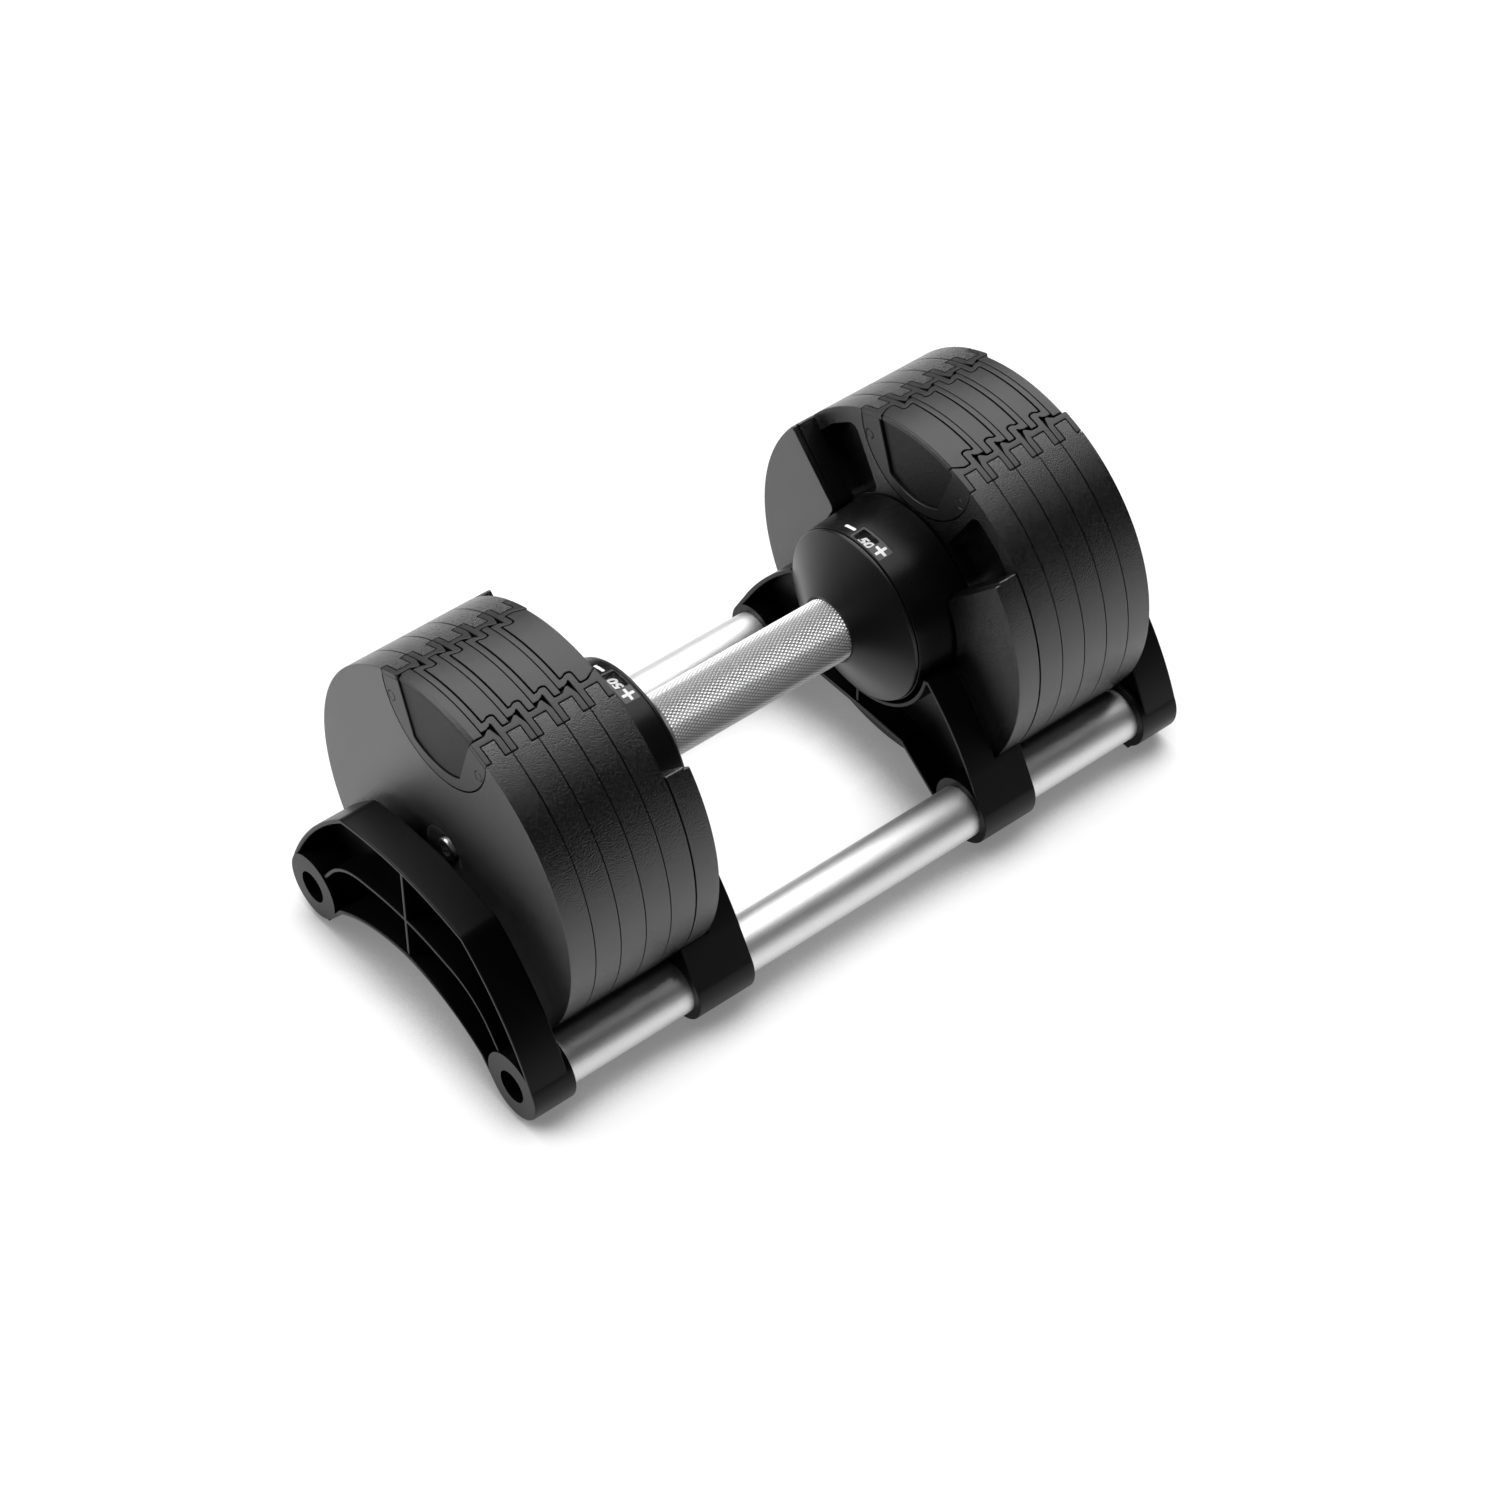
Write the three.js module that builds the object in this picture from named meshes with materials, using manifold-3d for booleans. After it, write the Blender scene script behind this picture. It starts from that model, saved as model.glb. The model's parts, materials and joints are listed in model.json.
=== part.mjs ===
// Adjustable dumbbell resting in its cradle.
// Millimetres, +Z up, +X along the handle. The origin is on the ground under the middle of the handle.
// The left half (-X) mirrors the right half.
import * as THREE from 'three';
import { mergeVertices } from 'three/addons/utils/BufferGeometryUtils.js';
import Module from 'manifold-3d';

const wasm = await Module();
wasm.setup();

// ---------------------------------------------------------------- driving dimensions

// running gap left between neighbouring pieces
const GAP = 0.3;
// how far a cutter runs past the face that it opens
const PAST = 1;

// weight plates
const PLATE_RADIUS = 92;
const PLATE_PITCH = 13.8;
const PLATE_JOINT = 0.35;
const ROUND_PLATES = 5;
const HUB_PLATE_WIDTH = 13.07;
const HUB_PLATE_NOTCH_DROP = 12.5;
const HUB_PLATE_CLEARANCE = 0.9;
const POCKET_RIM = 8;
const POCKET_DEPTH = 8;
const POCKET_INNER_ANGLE = 30;
const POCKET_OUTER_ANGLE = 47;
const ROD_BORE_RADIUS = 6.6;
const COUNTERSINK_RADIUS = 13.2;
const COUNTERSINK_DEPTH = 5;

// interlock blocks let into the tops of the round plates
const BLOCK_RADIUS = 38;
const BLOCK_RISE = 86;
const BLOCK_OVERHANG = 2.5;
const BLOCK_PANEL_INSET = 6;
const BLOCK_PANEL_TOP = 25.6;
const BLOCK_PANEL_FOOT = 16.5;
const BLOCK_PANEL_DEPTH = 0.8;

// grip and cones
const GRIP_RADIUS = 16;
const GRIP_HALF = 52;
const GRIP_TUCK = 14;
const CONE_LENGTH = 16.4;
const CONE_NOSE_RADIUS = 17.4;
const CONE_STEP = 0.4;
const CONE_EDGE = 1.8;
const CONE_WALL = 3;

// hub housings
const HUB_LENGTH = 32.5;
const HUB_RADIUS = 45.3;
const HUB_DRAFT = 2.3;
const HUB_WALL = 3;
const HUB_MOUTH_WALL = 2.2;
const HUB_END_WALL = 3.5;
const CORE_SEAT_LIP = 1.2;
const WINDOW_WIDTH = 7.1;
const WINDOW_OFFSET = 1.2;
const WINDOW_HALF_ANGLE = 7.3;
const LENS_THICKNESS = 1;

// number ring
const RING_WIDTH = 8.5;
const RING_WALL = 2.6;

// core tube, drive sleeve and selector rods
const ROD_RADIUS = 6;
const ROD_TIP_RECESS = 2.6;
const SOCKET_RADIUS = 3.4;
const SOCKET_DEPTH = 5;
const CORE_WALL = 2.8;
const SLEEVE_WALL = 3.4;
const TURN_PER_PLATE = 60;
const FOLLOWER_RADIUS = 2.2;
const FOLLOWER_OFFSET = 4;
const SLOT_CLEARANCE = 0.5;
const BUSH_WIDTH = 4;

// lock pins
const LOCK_PIN_RADIUS = 2.5;
const LOCK_COLLAR_STEP = 1.4;
const LOCK_COLLAR_WIDTH = 1.6;
const LOCK_BOSS_WALL = 1.2;
const LOCK_BOSS_HEIGHT = 12;
const LOCK_PIN_FROM_RING = 5.7;
const LOCK_SPRING_WIRE = 0.8;
const LOCK_SPRING_TURNS = 3.5;

// cradle tubes
const TUBE_RADIUS = 13.3;
const TUBE_WALL = 1.8;
const TUBE_HEIGHT = 21.234;
const TUBE_END_WALL = 8;

// brackets
const BOSS_RADIUS = 17.5;
const BRACKET_WALL = 2.2;
const BRACKET_WEB = 2.4;
const END_BRACKET_DEPTH = 22.8;
const END_BRACKET_CLEARANCE = 1.5;
const SCREW_POCKET_RADIUS = 8.3;
const SCREW_WEB = 4;
const TUBE_SOCKET_DEPTH = 5;
const CROWN_RISE = 4;
const CROWN_RADIUS = 205;
const SHOULDER_HALF = 46;
const SHOULDER_RISE = -1.5;
const FLANK_RADIUS = 155;
const ARCH_RISE = -54.5;
const ARCH_HALF = 54;
const ARCH_DROP = 17.5;
const ARCH_RADIUS = 100;
const BOSS_ENTRY_ANGLE = -140;
const BOSS_LOW_ANGLE = -45;
const BOSS_EXIT_ANGLE = 12;
const RIB_THICKNESS = 1.8;
const RIB_SETBACK = 0.8;
const MID_RIB_RISE = -26.5;
const MID_RIB_HALF = 34;
const MID_RIB_KNEE = 45;
const MID_RIB_SAG = 10;
const SADDLE_DEPTH = 16;
const SADDLE_CLEARANCE = 2.4;
const SADDLE_BOSS_LENGTH = 32;
const SADDLE_CUP_GAP = 2.2;
const SADDLE_HORN_RISE = -8.6;
const SADDLE_HORN_WIDTH = 3.4;
const SADDLE_HORN_SLOPE = 1;
const SADDLE_CREASE_HALF = 82.5;
const SADDLE_CREASE_RISE = -46.5;
const SADDLE_FLANK_RADIUS = 160;
const SADDLE_EXIT_ANGLE = 30;
const SADDLE_FLOOR_RISE = -61;
const SADDLE_FLOOR_HALF = 33;

// fasteners and feet
const SCREW_RADIUS = 3;
const SCREW_HEAD_RADIUS = 5;
const SCREW_HEAD_HEIGHT = 5;
const SCREW_LENGTH = 14;
const FOOT_LENGTH = 16;
const FOOT_WIDTH = 11;
const FOOT_SEAT = 2.2;
const PLATE_GROUND_CLEARANCE = 1.5;

// facets
const RIM_SEGMENTS = 48;
const HUB_SEGMENTS = 36;
const ROUND_SEGMENTS = 24;
const INNER_SEGMENTS = 16;
const SMALL_SEGMENTS = 12;

// ---------------------------------------------------------------- derived places

const AXIS_Z = PLATE_RADIUS + PLATE_GROUND_CLEARANCE;
const TUBE_DROP = AXIS_Z - TUBE_HEIGHT;
const TUBE_SPREAD = Math.sqrt((PLATE_RADIUS + TUBE_RADIUS + GAP) ** 2 - TUBE_DROP ** 2);
const CONE_END_X = GRIP_HALF + CONE_LENGTH;
const HUB_MOUTH_X = CONE_END_X + GAP;
const HUB_END_X = HUB_MOUTH_X + HUB_LENGTH;
const ROUND_STACK_X = HUB_END_X + GAP;
const HEAD_END_X = ROUND_STACK_X + ROUND_PLATES * PLATE_PITCH;
const HUB_PLATE_X = ROUND_STACK_X - HUB_PLATE_WIDTH;
const SADDLE_BACK_X = HUB_PLATE_X - SADDLE_CLEARANCE;
const SADDLE_FACE_X = SADDLE_BACK_X - SADDLE_DEPTH;
const END_BRACKET_X = HEAD_END_X + END_BRACKET_CLEARANCE;
const END_FACE_X = END_BRACKET_X + END_BRACKET_DEPTH;
const HUB_END_RADIUS = HUB_RADIUS + HUB_DRAFT;
const HUB_BORE_RADIUS = HUB_RADIUS - HUB_WALL;
const CONE_RADIUS = HUB_RADIUS - CONE_STEP;
const CUP_RADIUS = HUB_RADIUS + SADDLE_CUP_GAP;
const CORE_BORE_RADIUS = ROD_RADIUS + GAP;
const CORE_RADIUS = CORE_BORE_RADIUS + CORE_WALL;
const CORE_END_X = HUB_END_X - CORE_SEAT_LIP - GAP;
const SLEEVE_BORE_RADIUS = CORE_RADIUS + GAP;
const SLEEVE_RADIUS = SLEEVE_BORE_RADIUS + SLEEVE_WALL;
const GRIP_BORE_RADIUS = SLEEVE_RADIUS + GAP;
const HUB_WALL_X = HUB_END_X - HUB_END_WALL;
const BUSH_X = HUB_WALL_X - GAP - BUSH_WIDTH;
const SLEEVE_END_X = BUSH_X - GAP;
const ROD_STROKE = ROUND_PLATES * PLATE_PITCH;
const TURN_ANGLE = ROUND_PLATES * TURN_PER_PLATE;
const ROD_TIP_X = HEAD_END_X - ROD_TIP_RECESS;
const FOLLOWER_X = (SLEEVE_END_X + ROD_STROKE) / 2;
const ROD_TAIL_X = FOLLOWER_X - FOLLOWER_OFFSET;
const FOLLOWER_REACH = SLEEVE_RADIUS - GAP;
const SLOT_HALF = FOLLOWER_RADIUS + SLOT_CLEARANCE;
const RING_X = CONE_END_X + 2 * GAP;
const RING_BORE_RADIUS = HUB_RADIUS - HUB_MOUTH_WALL;
const RING_RADIUS = RING_BORE_RADIUS - GAP;
const SPIGOT_RADIUS = RING_RADIUS - RING_WALL - GAP;
const LOCK_PIN_X = RING_X + RING_WIDTH + LOCK_PIN_FROM_RING;
const LOCK_COLLAR_RADIUS = LOCK_PIN_RADIUS + LOCK_COLLAR_STEP;
const LOCK_BOSS_RADIUS = LOCK_COLLAR_RADIUS + GAP + LOCK_BOSS_WALL;
const SCREW_SEAT_X = END_BRACKET_X + TUBE_SOCKET_DEPTH + SCREW_WEB;
const TUBE_END_X = END_BRACKET_X + TUBE_SOCKET_DEPTH - GAP;

// ---------------------------------------------------------------- solids

// A closed three.js geometry as a manifold solid.
function solid(geometry) {
  const bare = geometry.clone();
  bare.deleteAttribute('normal');
  bare.deleteAttribute('uv');
  const merged = mergeVertices(bare, 1e-4);
  return new wasm.Manifold(new wasm.Mesh({
    numProp: 3,
    vertProperties: new Float32Array(merged.attributes.position.array),
    triVerts: new Uint32Array(merged.index.array),
  }));
}

// A manifold solid as a flat-shaded three.js geometry.
function geometryOf(body) {
  const mesh = body.getMesh();
  const geometry = new THREE.BufferGeometry();
  geometry.setAttribute('position', new THREE.BufferAttribute(new Float32Array(mesh.vertProperties), 3));
  geometry.setIndex(new THREE.BufferAttribute(new Uint32Array(mesh.triVerts), 1));
  geometry.computeVertexNormals();
  return geometry;
}

// An outline drawn in (y, z), pushed along X from x0 to x1.
function extrudeX(shape, x0, x1, curveSegments = 12) {
  const geometry = new THREE.ExtrudeGeometry(shape, { depth: x1 - x0, bevelEnabled: false, curveSegments });
  geometry.applyMatrix4(new THREE.Matrix4().set(0, 0, 1, x0, 1, 0, 0, 0, 0, 1, 0, 0, 0, 0, 0, 1));
  return solid(geometry);
}

// A closed profile of (x, radius) corners, turned about the X axis.
function turnX(corners, segments = ROUND_SEGMENTS) {
  const profile = [...corners, corners[0]].map(([x, radius]) => new THREE.Vector2(radius, -x));
  const geometry = new THREE.LatheGeometry(profile, segments);
  geometry.rotateZ(Math.PI / 2);
  return outward(geometry);
}

// A solid of the geometry, with its faces turned over if they point inwards.
function outward(geometry) {
  const body = solid(geometry);
  if (body.volume() > 0) {
    return body;
  }
  const turned = geometry.clone();
  const index = turned.index.array;
  for (let i = 0; i < index.length; i += 3) {
    [index[i], index[i + 1]] = [index[i + 1], index[i]];
  }
  return solid(turned);
}

// A round bar or, with a bore, a round tube along X, centred on (y, z).
function barX(x0, x1, radius, bore = 0, y = 0, z = 0, segments = ROUND_SEGMENTS) {
  const body = turnX([[x0, bore], [x1, bore], [x1, radius], [x0, radius]], segments);
  return body.translate([0, y, z]);
}

// A box between two corners.
function box(x0, x1, y0, y1, z0, z1) {
  const geometry = new THREE.BoxGeometry(x1 - x0, y1 - y0, z1 - z0);
  geometry.translate((x0 + x1) / 2, (y0 + y1) / 2, (z0 + z1) / 2);
  return solid(geometry);
}

const radians = THREE.MathUtils.degToRad;

// ---------------------------------------------------------------- scene assembly

const model = new THREE.Group();

function paint(color, roughness, metalness) {
  return () => new THREE.MeshStandardMaterial({ color, roughness, metalness });
}

const plateBlack = paint(0x232426, 0.5, 0.1);
const blockBlack = paint(0x2a2b2d, 0.55, 0);
const satinBlack = paint(0x161718, 0.42, 0);
const glossBlack = paint(0x0c0d0e, 0.2, 0);
const brightSteel = paint(0xb9babc, 0.32, 0.9);
const satinAluminium = paint(0xb4b5b7, 0.38, 0.9);
const darkSteel = paint(0x6d6f72, 0.4, 0.8);
const nylon = paint(0xd8d6cf, 0.6, 0);
const clearLens = paint(0x202226, 0.08, 0);
const rubber = paint(0x1a1a1a, 0.9, 0);

// Adds one piece, drawn about the handle's axis, and lifts it to the axis height.
function add(name, body, material) {
  const mesh = new THREE.Mesh(geometryOf(body), material());
  mesh.name = name;
  mesh.position.set(0, 0, AXIS_Z);
  model.add(mesh);
}

// Adds a right-hand piece and its mirror image on the left.
function addPair(name, body, material) {
  add(`${name}_right`, body, material);
  add(`${name}_left`, body.mirror([1, 0, 0]), material);
}

// ---------------------------------------------------------------- weight plates and their blocks

// The round-bottomed seat of an interlock block, open at the rim.
function blockProfile(radius, x0, x1) {
  const disc = barX(x0, x1, radius, 0, 0, BLOCK_RISE, HUB_SEGMENTS);
  return disc.intersect(barX(x0, x1, PLATE_RADIUS, 0, 0, 0, RIM_SEGMENTS));
}

// Inner and outer x of round plate number i, counted from the outermost.
function plateSpan(i) {
  const outer = HEAD_END_X - i * PLATE_PITCH;
  return [outer - PLATE_PITCH + PLATE_JOINT, outer];
}

function roundPlate(i) {
  const [inner, outer] = plateSpan(i);
  let plate = barX(inner, outer, PLATE_RADIUS, 0, 0, 0, RIM_SEGMENTS)
    .subtract(barX(inner - PAST, outer + PAST, ROD_BORE_RADIUS, 0, 0, 0, INNER_SEGMENTS))
    .subtract(barX(inner - PAST, outer + PAST, BLOCK_RADIUS, 0, 0, BLOCK_RISE, HUB_SEGMENTS));
  if (i === 0) {
    plate = plate.subtract(turnX([
      [outer + GAP, 0], [outer + GAP, COUNTERSINK_RADIUS + GAP], [outer - COUNTERSINK_DEPTH, ROD_BORE_RADIUS],
      [outer - COUNTERSINK_DEPTH, 0],
    ]));
  }
  if (i === ROUND_PLATES - 1) {
    plate = plate.subtract(pocket(inner, 1)).subtract(pocket(inner, -1));
  }
  return plate;
}

// A deep pocket beside the block, on the inner face of the innermost round plate.
function pocket(face, side) {
  const outline = new THREE.Shape();
  const inner = HUB_END_RADIUS + GAP;
  const outer = PLATE_RADIUS - POCKET_RIM;
  const from = radians(90 - POCKET_OUTER_ANGLE);
  const to = radians(90 - POCKET_INNER_ANGLE);
  outline.absarc(0, 0, outer, from, to, false);
  outline.absarc(0, 0, inner, to, from, true);
  outline.closePath();
  const cut = extrudeX(outline, face - PAST, face + POCKET_DEPTH, 2);
  return side > 0 ? cut : cut.mirror([0, 1, 0]);
}

// A block overhangs the next plate outwards, and stops short of the block behind it.
function interlockBlock(i) {
  const [inner, outer] = plateSpan(i);
  const front = i === 0 ? outer : outer + BLOCK_OVERHANG;
  const back = i === ROUND_PLATES - 1 ? inner : inner + BLOCK_OVERHANG;
  const block = blockProfile(BLOCK_RADIUS - GAP, back, front);
  if (i === 0) {
    return block.subtract(panel(front - BLOCK_PANEL_DEPTH, front + PAST));
  }
  if (i === ROUND_PLATES - 1) {
    return block.subtract(panel(back - PAST, back + BLOCK_PANEL_DEPTH));
  }
  return block;
}

// The sunk panel on a block's open face.
function panel(x0, x1) {
  const radius = BLOCK_RADIUS - BLOCK_PANEL_INSET;
  const foot = Math.asin(BLOCK_PANEL_FOOT / radius);
  const rim = Math.sqrt(PLATE_RADIUS ** 2 - BLOCK_PANEL_TOP ** 2);
  const outline = new THREE.Shape();
  outline.moveTo(BLOCK_PANEL_TOP, rim);
  outline.absarc(0, BLOCK_RISE, radius, -Math.PI / 2 + foot, -Math.PI / 2 - foot, true);
  outline.lineTo(-BLOCK_PANEL_TOP, rim);
  outline.lineTo(0, PLATE_RADIUS + PAST);
  outline.closePath();
  return extrudeX(outline, x0, x1, 5);
}

// The innermost plate: open at the top and bored to clear the hub.
function hubPlate() {
  const bore = HUB_END_RADIUS + HUB_PLATE_CLEARANCE;
  const outer = ROUND_STACK_X - PLATE_JOINT;
  const notch = new THREE.Shape();
  notch.moveTo(0, -HUB_PLATE_NOTCH_DROP);
  notch.lineTo(2 * PLATE_RADIUS, 2 * PLATE_RADIUS - HUB_PLATE_NOTCH_DROP);
  notch.lineTo(-2 * PLATE_RADIUS, 2 * PLATE_RADIUS - HUB_PLATE_NOTCH_DROP);
  notch.closePath();
  return barX(HUB_PLATE_X, outer, PLATE_RADIUS, bore, 0, 0, RIM_SEGMENTS)
    .subtract(extrudeX(notch, HUB_PLATE_X - PAST, outer + PAST));
}

for (let i = 0; i < ROUND_PLATES; i += 1) {
  addPair(`weight_plate_${i + 1}`, roundPlate(i), plateBlack);
  addPair(`interlock_block_${i + 1}`, interlockBlock(i), blockBlack);
}
addPair(`weight_plate_${ROUND_PLATES + 1}`, hubPlate(), plateBlack);

// ---------------------------------------------------------------- hub housings and windows

// A wedge from the axis that spans the window's angle, for cutting it out of a wall.
function windowWedge(halfAngle, x0, x1) {
  const reach = 2 * HUB_RADIUS;
  const wedge = new THREE.Shape();
  wedge.moveTo(0, 0);
  wedge.lineTo(reach * Math.sin(radians(halfAngle)), reach * Math.cos(radians(halfAngle)));
  wedge.lineTo(-reach * Math.sin(radians(halfAngle)), reach * Math.cos(radians(halfAngle)));
  wedge.closePath();
  return extrudeX(wedge, x0, x1);
}

function windowSpan() {
  const start = HUB_MOUTH_X + WINDOW_OFFSET;
  return [start, start + WINDOW_WIDTH];
}

function hubHousing() {
  const seat = HUB_END_X - CORE_SEAT_LIP;
  const ringEnd = RING_X + RING_WIDTH + GAP;
  const shell = turnX([
    [HUB_MOUTH_X, RING_BORE_RADIUS], [HUB_MOUTH_X, HUB_RADIUS], [HUB_END_X, HUB_END_RADIUS],
    [HUB_END_X, ROD_BORE_RADIUS], [seat, ROD_BORE_RADIUS], [seat, CORE_RADIUS + GAP],
    [HUB_WALL_X, CORE_RADIUS + GAP], [HUB_WALL_X, HUB_BORE_RADIUS], [ringEnd, HUB_BORE_RADIUS],
    [ringEnd, RING_BORE_RADIUS],
  ], HUB_SEGMENTS);
  const [x0, x1] = windowSpan();
  return shell
    .subtract(windowWedge(WINDOW_HALF_ANGLE, x0, x1))
    .add(lockPinBoss())
    .subtract(lockPinHole());
}

function windowLens() {
  const [x0, x1] = windowSpan();
  const edge = (GAP / HUB_RADIUS) * (180 / Math.PI);
  const low = HUB_RADIUS - LENS_THICKNESS;
  const ring = barX(x0 + GAP, x1 - GAP, HUB_RADIUS, low, 0, 0, HUB_SEGMENTS);
  return ring.intersect(windowWedge(WINDOW_HALF_ANGLE - edge, x0 - PAST, x1 + PAST));
}

// ---------------------------------------------------------------- lock pins

// A round bar along Z at the lock pin's place; heights are measured from the handle's axis.
function barZ(low, high, radius, segments = SMALL_SEGMENTS) {
  return barX(low, high, radius, 0, 0, 0, segments).rotate([0, -90, 0]).translate([LOCK_PIN_X, 0, 0]);
}

const LOCK_FLOOR = -HUB_BORE_RADIUS;
const LOCK_TIP = -CUP_RADIUS + GAP;
const LOCK_BOSS_TOP = LOCK_FLOOR + LOCK_BOSS_HEIGHT;
const LOCK_CAP = LOCK_BOSS_TOP - LOCK_BOSS_WALL;

function lockPinBoss() {
  return barZ(LOCK_FLOOR - HUB_WALL / 2, LOCK_BOSS_TOP, LOCK_BOSS_RADIUS);
}

function lockPinHole() {
  const bore = barZ(-HUB_END_RADIUS - PAST, LOCK_BOSS_TOP + PAST, LOCK_PIN_RADIUS + GAP);
  return bore.add(barZ(LOCK_FLOOR, LOCK_CAP, LOCK_COLLAR_RADIUS + GAP));
}

function lockPin() {
  const shank = barZ(LOCK_TIP, LOCK_CAP + PAST, LOCK_PIN_RADIUS);
  return shank.add(barZ(LOCK_FLOOR + GAP, LOCK_FLOOR + GAP + LOCK_COLLAR_WIDTH, LOCK_COLLAR_RADIUS));
}

// The spring sits round the pin, between its collar and the closed top of its boss.
function lockSpring() {
  const wire = LOCK_SPRING_WIRE / 2;
  const coil = (LOCK_PIN_RADIUS + LOCK_COLLAR_RADIUS + GAP) / 2;
  const low = LOCK_FLOOR + LOCK_COLLAR_WIDTH + 2 * GAP + wire;
  const high = LOCK_CAP - GAP - wire;
  const points = [];
  const steps = Math.round(LOCK_SPRING_TURNS * 8);
  for (let i = 0; i <= steps; i += 1) {
    const angle = (2 * Math.PI * LOCK_SPRING_TURNS * i) / steps;
    const height = low + ((high - low) * i) / steps;
    points.push(new THREE.Vector3(LOCK_PIN_X + coil * Math.cos(angle), coil * Math.sin(angle), height));
  }
  const section = new THREE.Shape();
  section.absarc(0, 0, wire, 0, 2 * Math.PI, false);
  const path = new THREE.CatmullRomCurve3(points);
  return solid(new THREE.ExtrudeGeometry(section, { steps, extrudePath: path, curveSegments: 2 }));
}

addPair('hub_housing', hubHousing(), glossBlack);
addPair('window_lens', windowLens(), clearLens);
addPair('lock_pin', lockPin(), darkSteel);
addPair('lock_spring', lockSpring(), brightSteel);

// ---------------------------------------------------------------- grip, cones and number rings

// The cone's slope, drawn from its nose to its rounded edge.
function handleCone() {
  const spigot = RING_X + RING_WIDTH / 2;
  const hollow = CONE_END_X - CONE_EDGE;
  return turnX([
    [GRIP_HALF + GAP, GRIP_RADIUS + GAP], [GRIP_HALF + GAP, CONE_NOSE_RADIUS],
    [CONE_END_X - CONE_EDGE, CONE_RADIUS - CONE_EDGE / 2], [CONE_END_X - CONE_EDGE / 3, CONE_RADIUS],
    [CONE_END_X, CONE_RADIUS - CONE_EDGE / 4], [CONE_END_X, SPIGOT_RADIUS], [spigot, SPIGOT_RADIUS],
    [spigot, SPIGOT_RADIUS - CONE_WALL], [hollow, SPIGOT_RADIUS - CONE_WALL],
    [GRIP_HALF + CONE_WALL, GRIP_RADIUS + CONE_WALL], [hollow, GRIP_RADIUS + CONE_WALL],
    [hollow, GRIP_RADIUS + GAP],
  ], HUB_SEGMENTS);
}

function knurledGrip() {
  const end = GRIP_HALF + GRIP_TUCK;
  return barX(-end, end, GRIP_RADIUS)
    .subtract(barX(-end - PAST, end + PAST, GRIP_BORE_RADIUS, 0, 0, 0, INNER_SEGMENTS));
}

addPair('handle_cone', handleCone(), satinBlack);
addPair('number_ring',
  barX(RING_X, RING_X + RING_WIDTH, RING_RADIUS, RING_RADIUS - RING_WALL, 0, 0, HUB_SEGMENTS), satinBlack);
add('knurled_grip', knurledGrip(), brightSteel);

// ---------------------------------------------------------------- drive sleeve, core tube and selector rods

// A bar bent into a helix round X: the path of a follower that starts on top at x0 and is drawn in
// as the sleeve turns backwards.
function helicalSlot(x0) {
  const turn = radians(TURN_ANGLE);
  const lead = ROD_STROKE / turn;
  const overrun = SLOT_HALF / SLEEVE_BORE_RADIUS;
  const length = turn + 2 * overrun;
  const steps = Math.round(length / radians(18));
  const half = SLOT_HALF * Math.hypot(1, lead / SLEEVE_BORE_RADIUS);
  const bent = new THREE.BoxGeometry(length, SLEEVE_WALL + 2 * PAST, 2 * half, steps, 1, 1);
  const place = bent.attributes.position;
  for (let i = 0; i < place.count; i += 1) {
    const angle = place.getX(i) + turn / 2;
    const radius = place.getY(i) + SLEEVE_BORE_RADIUS + SLEEVE_WALL / 2;
    place.setXYZ(i, x0 - lead * angle + place.getZ(i), radius * Math.sin(angle), radius * Math.cos(angle));
  }
  return outward(bent).mirror([0, 1, 0]);
}

function driveSleeve() {
  const slot = helicalSlot(FOLLOWER_X);
  return barX(-SLEEVE_END_X, SLEEVE_END_X, SLEEVE_RADIUS, SLEEVE_BORE_RADIUS, 0, 0, INNER_SEGMENTS)
    .subtract(slot)
    .subtract(slot.mirror([1, 0, 0]));
}

// Fixed between the hubs; a straight slot on top guides each follower.
function coreTube() {
  const slot = box(FOLLOWER_X - ROD_STROKE - SLOT_HALF, FOLLOWER_X + SLOT_HALF, -SLOT_HALF, SLOT_HALF,
    0, CORE_RADIUS + PAST);
  return barX(-CORE_END_X, CORE_END_X, CORE_RADIUS, CORE_BORE_RADIUS, 0, 0, INNER_SEGMENTS)
    .subtract(slot)
    .subtract(slot.mirror([1, 0, 0]));
}

function selectorRod() {
  return barX(ROD_TAIL_X, ROD_TIP_X, ROD_RADIUS, 0, 0, 0, INNER_SEGMENTS)
    .subtract(barX(ROD_TIP_X - SOCKET_DEPTH, ROD_TIP_X + PAST, SOCKET_RADIUS, 0, 0, 0, 6))
    .subtract(followerAt(FOLLOWER_RADIUS + GAP, 0));
}

// An upright pin pressed into the rod near its tail.
function followerAt(radius, low) {
  return barX(low, FOLLOWER_REACH, radius, 0, 0, 0, SMALL_SEGMENTS)
    .rotate([0, -90, 0])
    .translate([FOLLOWER_X, 0, 0]);
}

add('drive_sleeve', driveSleeve(), nylon);
add('core_tube', coreTube(), darkSteel);
addPair('selector_rod', selectorRod(), brightSteel);
addPair('follower_pin', followerAt(FOLLOWER_RADIUS, GAP), darkSteel);
addPair('thrust_bush',
  barX(BUSH_X, BUSH_X + BUSH_WIDTH, SLEEVE_RADIUS, SLEEVE_BORE_RADIUS, 0, 0, INNER_SEGMENTS), nylon);

// ---------------------------------------------------------------- cradle

// Moves every side of a closed outline inwards by distance; the outline runs anticlockwise.
function inset(points, distance) {
  return points.map((point, i) => {
    const before = points[(i + points.length - 1) % points.length];
    const after = points[(i + 1) % points.length];
    const a = point.clone().sub(before).normalize();
    const b = after.clone().sub(point).normalize();
    const bisector = new THREE.Vector2(-a.y - b.y, a.x + b.x).normalize();
    return point.clone().addScaledVector(bisector, distance / bisector.dot(new THREE.Vector2(-a.y, a.x)));
  });
}

// The outline and its mirror image across the middle, as one anticlockwise ring of points.
function mirroredOutline(half) {
  const left = half.slice(1, -1).reverse().map((point) => new THREE.Vector2(-point.x, point.y));
  return [...half, ...left];
}

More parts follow.
